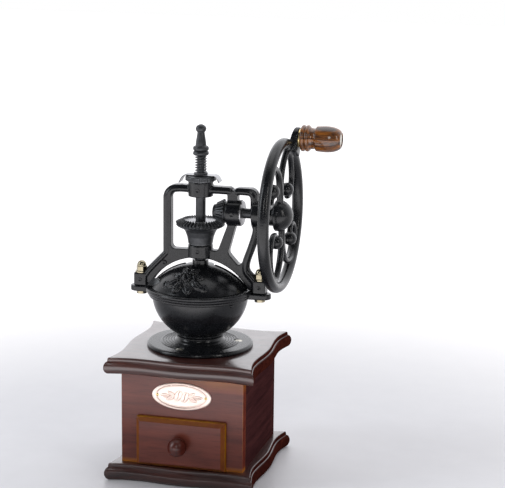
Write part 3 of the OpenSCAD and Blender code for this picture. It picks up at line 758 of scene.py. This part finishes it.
def plate():
    """The stamped oval plate: a rolled rim, a fine inner line, and two beans between sprigs."""
    low, high = low_of("oval_plate"), high_of("oval_plate")
    half_x, half_z = (high.x - low.x) / 2, (high.z - low.z) / 2
    middle = Vector(((high.x + low.x) / 2, high.y, (high.z + low.z) / 2))
    thickness = high.y - low.y
    rim, rings, spokes = 1.7, 64, 288

    def height(x, z):
        reach = math.hypot(x / half_x, z / half_z)
        inward = (1 - reach) * half_z
        if inward < rim:
            return thickness - 0.55 + 0.55 * max(0, math.sin(math.pi * inward / rim)) ** 0.6
        field = thickness - 0.6 + 0.16 * math.exp(-((inward - 2.5) / 0.22) ** 2)
        motif = 0.0
        for side in (-1, 1):
            middle_bean = bean(x, z, (side * 2.7, side * -0.4), 64, 9.6, 5.4, 0.55)
            motif = max(motif, middle_bean, sprig(x, z, side, 0.42))
        return min(thickness, field + motif)

    points = [(0, -height(0, 0), 0)]
    for i in range(1, rings + 1):
        share = 1 - (1 - i / rings) ** 1.15
        for j in range(spokes):
            a = math.tau * j / spokes
            x, z = half_x * share * math.cos(a), half_z * share * math.sin(a)
            points.append((x, -height(x, z), z))
    for j in range(spokes):
        a = math.tau * j / spokes
        points.append((half_x * math.cos(a), 0, half_z * math.sin(a)))
    faces = [(0, 1 + j, 1 + (j + 1) % spokes) for j in range(spokes)]
    for i in range(rings):
        for j in range(spokes):
            a, b = 1 + i * spokes + j, 1 + i * spokes + (j + 1) % spokes
            faces.append((a, a + spokes, b + spokes, b))
    faces.append(tuple(1 + rings * spokes + j for j in range(spokes)))
    piece = moved(settle(make("plate", points, faces), 70), shift(*middle))
    return fit(piece, "stamped_plate", "mill_frame", "plate_metal", None, "oval_plate")


plate()


# ---- Bowl ----

BOWL_UP = 44.5
BOWL_R = 38.9
BOWL_WALL = 2.9
RIM_UP = 49.0
LEDGE_UP = 47.0
LEDGE_R = 42.6
FLANGE_R = 42.7
FLANGE_T = 3.3
BORE_R = 15.5
EAR_LOW, EAR_UP = 41.8, 46.3
RIVET_R = 1.5
BOLT_HEAD_R = 4.2
BOLT_X = high_of("ear_bolts").x - BOLT_HEAD_R


def bowl_profile():
    """Outline of the bowl from its bore, over the flange and rim, and back down inside."""
    flange = rounded([(BORE_R, 0), (FLANGE_R, 0), (FLANGE_R + 0.3, 1.6), (FLANGE_R - 0.3, 2.8),
                      (FLANGE_R - 1.4, FLANGE_T), (32.4, FLANGE_T)], 0.7, 4, False)
    ridges = []
    for k in range(91):
        r = 32.0 - 11.0 * k / 90
        rise = 0.85 * (k / 90) ** 1.6
        ridges.append((r, FLANGE_T + rise + 0.62 * abs(math.sin(math.pi * (32.0 - r) / 2.2)) ** 0.7))
    neck = rounded([(20.6, 4.9), (18.7, 6.2), (18.2, 8.0), (18.4, 9.2), (19.3, 9.6), (19.5, 10.2),
                    (18.8, 10.9)], 0.6, 4, False)
    start_angle = -math.acos(18.9 / BOWL_R)
    outside = [(BOWL_R * math.cos(a), BOWL_UP + BOWL_R * math.sin(a))
               for a in (start_angle * (1 - k / 44) - 0.055 * k / 44 for k in range(45))]
    rim = rounded([(39.0, 42.0), (39.4, 41.2), (41.0, 41.2), (41.5, 42.0), (41.3, 43.2), (42.5, 43.8),
                   (43.0, 44.6), (42.8, 45.6), (43.8, 46.0), (44.4, 46.8), (44.4, 48.2),
                   (43.7, RIM_UP), (LEDGE_R, RIM_UP), (LEDGE_R, LEDGE_UP),
                   (BOWL_R - BOWL_WALL, LEDGE_UP)], 0.5, 4, False)
    inner_r = BOWL_R - BOWL_WALL
    low = -math.acos(BORE_R / inner_r)
    inside = [(inner_r * math.cos(a), BOWL_UP + inner_r * math.sin(a))
              for a in (low * k / 40 for k in range(41))]
    return [tuple(p) for p in [*flange, *ridges, *neck, *outside, *rim, *inside]]


def bowl():
    """The cast bowl with countersunk holes in its flange."""
    piece = moved(lathe("bowl", bowl_profile(), 192, 40), shift(0, 0, TOP))
    holes = []
    profile = [(0, -1), (1.75, -1), (1.75, 1.6), (3.6, FLANGE_T + 0.2), (3.6, 6), (0, 6)]
    for angle in SCREW_ANGLES:
        holes.append(moved(lathe("cutter", profile, 32), pointed(SCREW_RING_R, angle, TOP)))
    piece = drilled(piece, holes)
    return fit(piece, "cast_bowl", "mill_frame", "black_iron", None, "mill_bowl")


def bowl_ears():
    """The two ears that the bridge is bolted to, and a small rivet on the bowl's side."""
    parts = []
    for side in (-1, 1):
        parts.append(slab("arm", (min(side * 40.5, side * 52), -6.3, TOP + EAR_LOW),
                          (max(side * 40.5, side * 52), 6.3, TOP + EAR_UP), 0.6))
        outline = rounded([(0, EAR_LOW), (6.45, EAR_LOW), (6.45, EAR_UP), (0, EAR_UP)], 0.9)
        parts.append(moved(lathe("end", outline, 64), shift(side * 52.1, 0, TOP)))
    piece = cast("ears", parts, 0.4, 4)
    fit(piece, "bowl_ears", "mill_frame", "black_iron", None, "mill_bowl")
    rivet = moved(ball("rivet", (0, 0, 0), RIVET_R), pointed(38.4, -34, TOP + 39.6))
    return fit(settle(rivet, 180), "bowl_rivet", "mill_frame", "black_iron", None)


bowl()
bowl_ears()


def flange_screw_heads():
    """Countersunk screws with a slot across the head."""
    parts = []
    profile = [(0, -9.9), (0.4, -9.9), (1.7, -7.5), (1.7, 1.7), (3.3, 3.05), (3.2, 3.25), (2.2, 3.55),
               (0, 3.75)]
    for k, angle in enumerate(SCREW_ANGLES):
        head = lathe("head", profile, 48)
        slot_cut = slab("slot", (-4, -0.35, 2.9), (4, 0.35, 5), 0.05)
        head = drilled(head, [slot_cut])
        spin = Matrix.Rotation(math.radians(25 + 50 * k), 4, "Z")
        parts.append(moved(head, pointed(SCREW_RING_R, angle, TOP) @ spin))
    piece = settle(joined("heads", parts))
    return fit(piece, "flange_screw_set", "mill_frame", "dark_steel", "zinc_screw", "flange_screws")


flange_screw_heads()


# ---- Lid ----

LID_CENTRE_UP = 18.0
LID_R = 50.0
LID_WALL = 1.6
LID_LOW_UP = 48.9
LID_RING_R = 11.0
LID_BORE_R = 6.6
TAB_AT = Vector((-32.2, -17.6))
TAB_TURN, TAB_LEAN = 151.7, 16
TAB_R, TAB_HIGH, TAB_HALF = 7.5, 7.0, 1.4
ORNAMENT_TURN = 262
ORNAMENT_TILT = 33


def lid_relief(p):
    """How far the casting stands proud of the lid. p is a direction from the ball's centre."""
    turn, tilt = math.radians(ORNAMENT_TURN), math.radians(ORNAMENT_TILT)
    east = Vector((-math.sin(turn), math.cos(turn), 0))
    out = Vector((math.cos(turn) * math.sin(tilt), math.sin(turn) * math.sin(tilt), math.cos(tilt)))
    north = out.cross(east)
    x, y = p.dot(east) * LID_R, p.dot(north) * LID_R
    best = bean(x, y, (0, 1.5), 90, 9.0, 8.6, 3.4)
    for side in (-1, 1):
        best = max(best, leaf(x, y, (side * 0.8, 6.0), 90 - side * 40, 9.0, 3.4, 2.2))
        best = max(best, leaf(x, y, (side * 4.2, 3.0), 90 - side * 84, 9.5, 3.3, 2.2))
        best = max(best, leaf(x, y, (side * 2.6, -3.4), 270 + side * 20, 11.5, 3.6, 2.6))
        best = max(best, leaf(x, y, (side * 5.2, -1.4), 270 + side * 58, 12.0, 3.5, 2.4))
        best = max(best, bean(x, y, (side * 16.0, -5.0), 90 + side * 20, 7.0, 6.0, 2.6))
    return best


def lid():
    """The turning half dome: a shell with cast leaves and a lip along its straight edge."""
    columns, rows, ring_rows = 288, 84, 10
    lip_high, lip_wide = 0.8, 1.1
    bore = math.asin(LID_BORE_R / LID_R)
    ring = math.asin(LID_RING_R / LID_R)
    edge = math.acos((LID_LOW_UP - LID_CENTRE_UP) / LID_R)
    tilts = [bore + (ring - bore) * k / ring_rows for k in range(ring_rows)]
    tilts += [ring + (edge - ring) * k / (rows - ring_rows) for k in range(rows - ring_rows + 1)]
    points = []
    for j in range(columns):
        a = math.tau * j / columns
        for tilt in tilts:
            p = Vector((math.cos(a) * math.sin(tilt), math.sin(a) * math.sin(tilt), math.cos(tilt)))
            lip = lip_high * math.exp(-(p.y * LID_R / lip_wide) ** 2) if tilt > ring * 1.1 else 0.0
            proud = max(lid_relief(p), lip)
            points.append(p * (LID_R + proud) + Vector((0, 0, TOP + LID_CENTRE_UP)))
    faces = []
    count = len(tilts)
    for j in range(columns):
        front = j >= columns // 2
        for i in range(count - 1):
            if front or i < ring_rows:
                here, there = j * count, (j + 1) % columns * count
                faces.append((here + i, here + i + 1, there + i + 1, there + i))
    piece = make("lid_shell", points, faces)
    shell = piece.modifiers.new("Shell", "SOLIDIFY")
    shell.thickness = LID_WALL * MM
    shell.offset = -1
    applied(piece)
    work = bmesh.new()
    work.from_mesh(piece.data)
    loose = [v for v in work.verts if not v.link_faces]
    bmesh.ops.delete(work, geom=loose, context="VERTS")
    work.to_mesh(piece.data)
    work.free()
    settle(piece, 50)
    return fit(piece, "lid_dome", "lid", "black_iron", None, "lid")


def thumb_tab():
    """A half disc that stands on the lid's outer edge."""
    outline = [(x, z * TAB_HIGH / TAB_R) for x, z in arc(TAB_R, 0, 181, 6)]
    points = [(x, side * TAB_HALF, z) for side in (-1, 1) for x, z in outline]
    piece = settle(make("tab", points, rings(2, len(outline))), 30)
    ease = piece.modifiers.new("Ease", "BEVEL")
    ease.width = 0.45 * MM
    ease.segments = 3
    applied(piece)
    turn = Matrix.Rotation(math.radians(TAB_TURN), 4, "Z") @ Matrix.Rotation(math.radians(TAB_LEAN), 4, "X")
    moved(settle(piece, 40), shift(TAB_AT.x, TAB_AT.y, TOP + LID_LOW_UP + 0.6) @ turn)
    return fit(piece, "lid_tab", "lid", "black_iron", None)


lid()
thumb_tab()
fit(eased("bowl_cover", 0.3, 2, 40), "cover_dome", "mill_frame", "black_iron", None, "bowl_cover")


# ---- Bridge ----

WEB_HALF = 4.0
BRIDGE_HALF = 5.0
BORE_CLEAR = 4.15
BAR_R, OUTER_BAR_R = 3.3, 3.2
FOOT_LOW, FOOT_UP = 46.35, 57
FOOT_X = (44.3, 54.8)
BOSS_R = 10.0
LOWER_BOSS = (72.9, 83.1)
UPPER_BOSS = (122.6, 134.4)
CRANK_BOSSES = ((22.7, 34.0), (43.7, 53.9))
LEFT_BAR = [(-45.5, 54), (-41, 60.5), (-29.5, 72.6), (-27, 76), (-27, 84), (-27, 112), (-27, 119),
            (-25.6, 124), (-22.6, 127), (-17, 128), (-11, 128), (-6.5, 128)]
RIGHT_BAR = [(6.5, 128), (12, 128), (18, 128), (23.5, 128), (26.2, 127.3)]
OUTER_BAR = [(29.4, 127.3), (32, 128), (38, 128), (41.5, 127.4), (43.7, 125), (44.3, 121), (44.4, 110),
             (44.8, 103), (46.2, 97), (42.6, 84), (38.3, 71.5), (38.4, 64), (43, 58.5), (46.5, 54)]


def boss(low, high, turn, at):
    """A bored boss with rounded edges."""
    outline = rounded([(BORE_CLEAR, low), (BOSS_R, low), (BOSS_R, high), (BORE_CLEAR, high)], 1.1)
    return moved(lathe("boss", [tuple(p) for p in outline], 96), at @ turn)


def bridge():
    """The cast bridge: a flat web with a round bar along its outer edge, and four bored bosses."""
    web = copy_of("bridge")
    for vertex in web.data.vertices:
        if abs(abs(vertex.co.y) - BRIDGE_HALF * MM) < 0.05 * MM:
            vertex.co.y = math.copysign(WEB_HALF * MM, vertex.co.y)
    parts = [web]
    for path, r in ((LEFT_BAR, BAR_R), (RIGHT_BAR, BAR_R), (OUTER_BAR, OUTER_BAR_R)):
        line = [Vector((p.x, 0, TOP + p.y)) for p in curve(path, 6)]
        deep = (BRIDGE_HALF - 0.1) / r
        parts.append(tube("bar", line, lambda t, r=r: r, Vector((0, 1, 0)), 20, deep))
    for side in (-1, 1):
        left, right = sorted(side * x for x in FOOT_X)
        low, high = (left, -BRIDGE_HALF, TOP + FOOT_LOW), (right, BRIDGE_HALF, TOP + FOOT_UP)
        parts.append(slab("foot", low, high, 0.7))
    upright = Matrix.Identity(4)
    for low, high in (LOWER_BOSS, UPPER_BOSS):
        parts.append(boss(low, high, upright, shift(0, 0, TOP)))
    for low, high in CRANK_BOSSES:
        parts.append(boss(low, high, ALONG_X, shift(0, 0, CRANK_Z)))
    piece = cast("bridge_cast", parts, 0.5, 5)
    return fit(piece, "bridge_casting", "mill_frame", "black_iron", None, "bridge")


bridge()


def casting_marks():
    """Small round marks left by the mould on the bridge's bosses and feet."""
    places = [(0, -9.9, TOP + 128), (0, -9.9, TOP + 78.5), (-29, -4.9, TOP + 67), (28, -10.4, CRANK_Z),
              (49.6, -4.9, TOP + 51.5), (-49.6, -4.9, TOP + 51.5)]
    ring = [(0, 0.15), (0.7, 0.2), (1.2, 0.55), (1.6, 0.5), (1.8, 0), (1.8, -0.8), (0, -0.8)]
    parts = [moved(lathe("mark", ring, 32, 60), shift(*at) @ FACING_FRONT) for at in places]
    piece = settle(joined("marks", parts), 60)
    return fit(piece, "casting_marks", "mill_frame", "black_iron", None)


casting_marks()


NUT_R = 4.6
NUT_DOME_R = 3.75
NUT_UP = 58


def acorn_nut(x):
    """A hexagon nut with rounded corners and a domed cap."""
    hexagon = rounded(arc(NUT_R, 0, 360, 60), 0.35, 3)
    rows = [(0.93, 0.0), (1.0, 0.35), (1.0, 3.9), (0.92, 4.3), (0.8, 4.55)]
    points = [(p[0] * share, p[1] * share, z) for share, z in rows for p in hexagon]
    nut = settle(make("nut", points, rings(len(rows), len(hexagon))), 30)
    dome = [(0, 4.3), (NUT_DOME_R, 4.3)] + arc(NUT_DOME_R, 0, 90, 6, (0, 4.75))
    cap = lathe("cap", dome + [(0, 8.5)], 64, 50)
    return [moved(part, shift(x, 0, TOP + NUT_UP)) for part in (nut, cap)]


fit(settle(joined("nuts", acorn_nut(-BOLT_X) + acorn_nut(BOLT_X)), 30), "acorn_nut_pair", "mill_frame",
    "pale_nickel", None, "acorn_nuts")


# ---- Flywheel ----

WHEEL_R = 61.2
WHEEL_X = 65.8
RIM_RADIAL, RIM_AXIAL = 8.9, 9.2
SCROLL_R = 2.4
BALL_R = 5.6
NEAR_SCROLL = [(-3, 8), (-3, 24), (3, 38), (16, 48.5), (27.5, 42.5), (33, 30), (32, 19), (26, 12),
               (18, 12)]
FAR_SCROLL = [(-3, 14), (-8, 31), (-18, 39.5), (-31, 41.5), (-42, 34.5), (-46.5, 24), (-42, 15),
              (-34, 14), (-30, 19)]
BALLS = [(16.5, 18), (-29.5, 24.5)]
HUB_R = 12.6
HUB_CAP_X = 62.9
LUG_LOW, LUG_HIGH = 65.3, 73.0
LUG_R = 8.5


def scroll_r(t):
    """A scroll's radius, which tapers to its tip."""
    return SCROLL_R * (1.1 - 0.25 * t)


def wheel_parts():
    """The wheel's parts with its axis along X through the crank's centre."""
    middle = WHEEL_R - RIM_RADIAL / 2
    rim = [(middle + RIM_RADIAL / 2 * math.cos(a), RIM_AXIAL / 2 * math.sin(a))
           for a in (math.tau * k / 32 for k in range(32))]
    parts = [moved(lathe("rim", rim, 240, 180), shift(WHEEL_X, 0, 0) @ ALONG_X)]
    hub = [(0, 56.2), (7.9, 56.2), (8.6, 56.9), (8.6, 61.2), (11.6, 61.5), (HUB_R, 62.2), (HUB_R, 63.2)]
    hub += arc(HUB_R, 6, 85, 6, (0, HUB_CAP_X)) + [(0, HUB_CAP_X + HUB_R)]
    parts.append(moved(lathe("hub", hub, 96, 60), ALONG_X))
    for side in (-1, 1):
        for path in (NEAR_SCROLL, FAR_SCROLL):
            line = [Vector((WHEEL_X, side * p.x, side * p.y)) for p in curve(path, 8)]
            parts.append(tube("scroll", line, scroll_r, Vector((1, 0, 0)), 16, 1.05))
        for y, z in BALLS:
            parts.append(ball("ball", (WHEEL_X + 0.4, side * y, side * z), BALL_R))
    return parts


def crank_lug():
    """The flat lug on the rim that holds the handle's pin."""
    reach = math.hypot(PIVOT.y, PIVOT.z - CRANK_Z)
    outline = [(reach - 13.5, -6.4), (reach - 4, -7.2)]
    outline += arc(LUG_R, -100, 101, 8, (reach, 0))
    outline += [(reach - 4, 7.2), (reach - 13.5, 6.4)]
    taper, taper_slope, taper_start = 3.6, 0.26, reach - 9
    points = [(LUG_LOW + max(0, min(taper, (u - taper_start) * taper_slope)), u, v) for u, v in outline]
    points += [(LUG_HIGH, u, v) for u, v in outline]
    piece = settle(make("lug", points, rings(2, len(outline))))
    return moved(piece, Matrix.Rotation(math.atan2(PIVOT.z - CRANK_Z, PIVOT.y), 4, "X"))


wheel = cast("wheel", wheel_parts() + [crank_lug()], 0.55, 5)
moved(wheel, shift(0, 0, CRANK_Z))
fit(wheel, "wheel_casting", "crank", "black_iron", "wheel_iron", "flywheel")


# ---- Handle ----

def grip():
    """The turned grip: two beads, a neck and a barrel."""
    start_x, length = low_of("grip").x, high_of("grip").x - low_of("grip").x
    foot = rounded([(3.3, 0), (9.7, 0), (10.6, 0.9), (10.7, 2.2), (9.5, 3.5)], 0.6, 4, False)
    body = curve([(9.5, 3.5), (10.4, 4.3), (10.65, 5.4), (10.2, 6.5), (8.9, 7.6), (8.4, 9.6),
                  (8.75, 11.4), (9.9, 12.4), (10.2, 14), (10.5, 18.5), (10.45, 22), (9.9, length - 6.5),
                  (8.6, length - 2.8), (7.0, length - 0.7), (5.9, length - 0.1), (5.3, length - 0.3)], 6)
    hole = [(5.2, length - 3.4), (3.2, length - 3.4)]
    profile = [tuple(p) for p in [*foot[:-1], *body, *hole]]
    piece = moved(lathe("grip", profile, 128, 45), shift(start_x, PIVOT.y, PIVOT.z) @ ALONG_X)
    return fit(piece, "turned_grip", "handle", "grip_wood", None, "grip")


grip()


# ---- Gears ----

def ring_face():
    """The machined dish inside the ring gear's teeth."""
    profile = [(4.3, 101.0), (12.2, 101.9), (12.6, 102.4), (12.2, 102.6), (4.6, 101.8), (4.3, 101.6)]
    piece = moved(lathe("dish", profile, 96, 40), shift(0, 0, TOP))
    return fit(piece, "gear_dish", "drive", "dark_steel", "bright_steel")


ring_face()


# ---- Adjuster ----

ROD_BORE_R = 3.08


def strip():
    """The bent spring strip that stops the nut."""
    low = low_of("stopper_strip").z
    flat = high_of("stopper_strip").z - 0.45
    line = [(-17.0, low + 0.4), (-15.9, low + 2.6), (-14.4, low + 5.0), (-12.2, flat - 0.1), (-9, flat),
            (0, flat), (9, flat), (12.2, flat - 0.1), (14.3, flat - 1.7), (15.4, flat - 3.6),
            (16.2, flat - 5.0)]
    path = curve(line, 6)
    half_w, half_t, flat_w, count = 4.9, 0.4, 4.55, len(path)
    section = [(-half_w, 0), (-flat_w, half_t), (flat_w, half_t), (half_w, 0), (flat_w, -half_t),
               (-flat_w, -half_t)]
    points = []
    for i, p in enumerate(path):
        ahead = (path[min(i + 1, count - 1)] - path[max(i - 1, 0)]).normalized()
        for across, up in section:
            points.append((p.x - ahead.y * up, across, p.y + ahead.x * up))
    piece = settle(make("strip", points, rings(count, len(section))), 30)
    hole = lathe("cutter", [(0, flat - 3), (4.3, flat - 3), (4.3, flat + 3), (0, flat + 3)], 48)
    piece = drilled(piece, [hole])
    return fit(piece, "spring_strip", "stopper", "bright_steel", None, "stopper_strip")


def helix(radius, low, high, turns, steps):
    """Points along a screw line about the main shaft."""
    count = round(turns * steps)
    return [Vector((radius * math.cos(math.tau * i / steps), radius * math.sin(math.tau * i / steps),
                    low + (high - low) * i / count)) for i in range(count + 1)]


def spring():
    """The round wire spring over the rod. Its foot rests on the strip's seat."""
    low, high = low_of("coil_spring").z, high_of("coil_spring").z
    wire = 0.5
    path = helix(4.2, low + wire, high - wire, 6, 40)
    piece = tube("spring", path, lambda t: wire, Vector((0, 0, 1)), 10)
    fit(piece, "wire_spring", "shaft", "dark_steel", None, "coil_spring")
    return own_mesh(piece)


def rod_thread():
    """The screw thread on the rod, seen between the spring's coils."""
    low, high = low_of("coil_spring").z, low_of("finial").z + 1
    pitch, ridge = 1.0, 0.3
    path = helix(2.9, low, high, (high - low) / pitch, 24)
    piece = tube("thread", path, lambda t: ridge, Vector((0, 0, 1)), 6)
    return fit(piece, "rod_thread", "shaft", "dark_steel", None)


def collar():
    """The turned ring that holds the spring's upper end."""
    outline = rounded([(ROD_BORE_R, 155.05), (5.2, 155.05), (6.3, 156), (6.4, 157.4), (5.6, 158.7),
                       (ROD_BORE_R, 158.7)], 0.5)
    piece = moved(lathe("collar", [tuple(p) for p in outline], 96, 40), shift(0, 0, TOP))
    return fit(piece, "collar_ring", "cap_ring", "dark_steel", None, "spring_collar")


strip()
spring()
rod_thread()
collar()


def finial():
    """The cap screw: a waisted post with a collar and a ball head."""
    body = curve([(4.3, 162.9), (4.2, 164.5), (3.9, 167), (3.4, 170), (3.0, 172.6), (2.9, 173.6)], 6)
    head = [(x, 176.2 + z * 3.55 / 4.25) for x, z in arc(4.25, -42, 66, 6)]
    foot = rounded([(3.07, 158.8), (5.4, 158.8), (6.3, 159.8), (6.4, 161), (5.9, 162.2), (4.5, 162.8)],
                   0.5, 4, False)
    outline = [(0, 165), (3.07, 165), *foot, *body, *head, (1.2, 179.75), (0, 179.8)]
    piece = moved(lathe("finial", [tuple(p) for p in outline], 96, 50), shift(0, 0, TOP))
    return fit(piece, "cap_screw", "cap", "dark_steel", None, "finial")


finial()


# ---- Floor, light and camera ----

def floor():
    """A pale floor that brightens to white away from the object, with a strip in front of it that glows brighter
    than white as a light for the highlight along the boards' nose.
    """
    size, level = 4000, -0.06
    corners = ((-size, -size), (size, -size), (size, size), (-size, size))
    piece = make("floor", [(*corner, level) for corner in corners], [(0, 1, 2, 3)])
    material, tree, shader = start("floor")
    here = add(tree, "TexCoord").outputs["Object"]
    distance = add(tree, "VectorMath", {"operation": "LENGTH"})
    tree.links.new(here, distance.inputs[0])
    far = add(tree, "MapRange", {"interpolation_type": "SMOOTHSTEP"}, Value=distance.outputs["Value"],
              From_Min=0.16, From_Max=0.72).outputs["Result"]
    speck = grain(tree, (35, 35, 35), 3.0)
    tone = blend(tree, remap(tree, speck, 0.3, 0.7), (0.565, 0.56, 0.58), (0.585, 0.58, 0.60))
    split = add(tree, "SeparateXYZ", Vector=here)
    # Painted light: the floor glows at 2.8 in a strip in front of the object and acts as a light source.
    front = times(tree, remap(tree, split.outputs["Y"], -0.16, -0.26), 2.8)
    put(tree, shader, Base_Color=blend(tree, far, tone, (0.02, 0.02, 0.02)), Roughness=0.34,
        Specular_IOR_Level=0.16, Emission_Color=(1.0, 0.985, 1.0),
        Emission_Strength=combined(tree, "MAXIMUM", far, front))
    piece.data.materials.append(material)


def softbox(name, at, aim, size, power, colour=(1, 1, 1)):
    """A rectangular soft light at a point in metres, aimed at another."""
    data = bpy.data.lights.new(name, "AREA")
    data.shape = "RECTANGLE"
    data.size, data.size_y = size
    data.energy = power
    data.color = colour
    lamp = shown(name, data)
    lamp.location = at
    lamp.rotation_euler = (Vector(aim) - Vector(at)).to_track_quat("-Z", "Y").to_euler()
    return lamp


def room():
    """White behind the object and dim in front of it; the camera sees plain white."""
    world = bpy.data.worlds.new("studio")
    bpy.context.scene.world = world
    world.use_nodes = True
    tree = world.node_tree
    back = tree.nodes["Background"]
    way = add(tree, "TexCoord").outputs["Generated"]
    split = add(tree, "SeparateXYZ", Vector=way)
    behind = remap(tree, split.outputs["Y"], -0.25, 0.55)
    tone = blend(tree, behind, (0.02, 0.021, 0.024), (1.75, 1.76, 1.82))
    put(tree, back, Color=tone)
    white = add(tree, "Background", Color=(1, 1, 1))
    seen = add(tree, "LightPath").outputs["Is Camera Ray"]
    both = add(tree, "MixShader")
    for socket, source in zip(both.inputs, (seen, back.outputs[0], white.outputs[0])):
        tree.links.new(source, socket)
    put(tree, tree.nodes["World Output"], Surface=both.outputs[0])


floor()
room()
MIDDLE = (0, 0, 0.13)
softbox("left_box", (-1.15, -0.55, 0.75), MIDDLE, (0.4, 1.0), 9, (0.90, 0.95, 1.0))
softbox("right_box", (1.25, -0.75, 0.9), MIDDLE, (0.25, 0.9), 5, (1.0, 0.98, 0.95))
softbox("front_box", (0.25, -1.6, 1.0), MIDDLE, (0.22, 0.6), 4)
softbox("top_box", (0.0, 0.25, 1.5), MIDDLE, (1.0, 0.8), 3)

CAMERA_AT = Vector((0.37649, -1.27262, 0.48076))
CAMERA_TURN, CAMERA_DOWN, CAMERA_ROLL = 14.686, 12.586, 0.641
CAMERA_LENS = 121.13


def camera():
    """The camera, level but for a slight roll, on a long lens."""
    data = bpy.data.cameras.new("camera")
    data.lens = CAMERA_LENS
    data.sensor_width = 36
    made = shown("camera", data)
    turn = Matrix.Rotation(math.radians(CAMERA_TURN), 4, "Z")
    tilt = Matrix.Rotation(math.radians(90 - CAMERA_DOWN), 4, "X")
    roll = Matrix.Rotation(math.radians(CAMERA_ROLL), 4, "Z")
    made.matrix_world = Matrix.Translation(CAMERA_AT) @ turn @ tilt @ roll
    bpy.context.scene.camera = made


camera()
bpy.context.scene.view_settings.view_transform = "Standard"
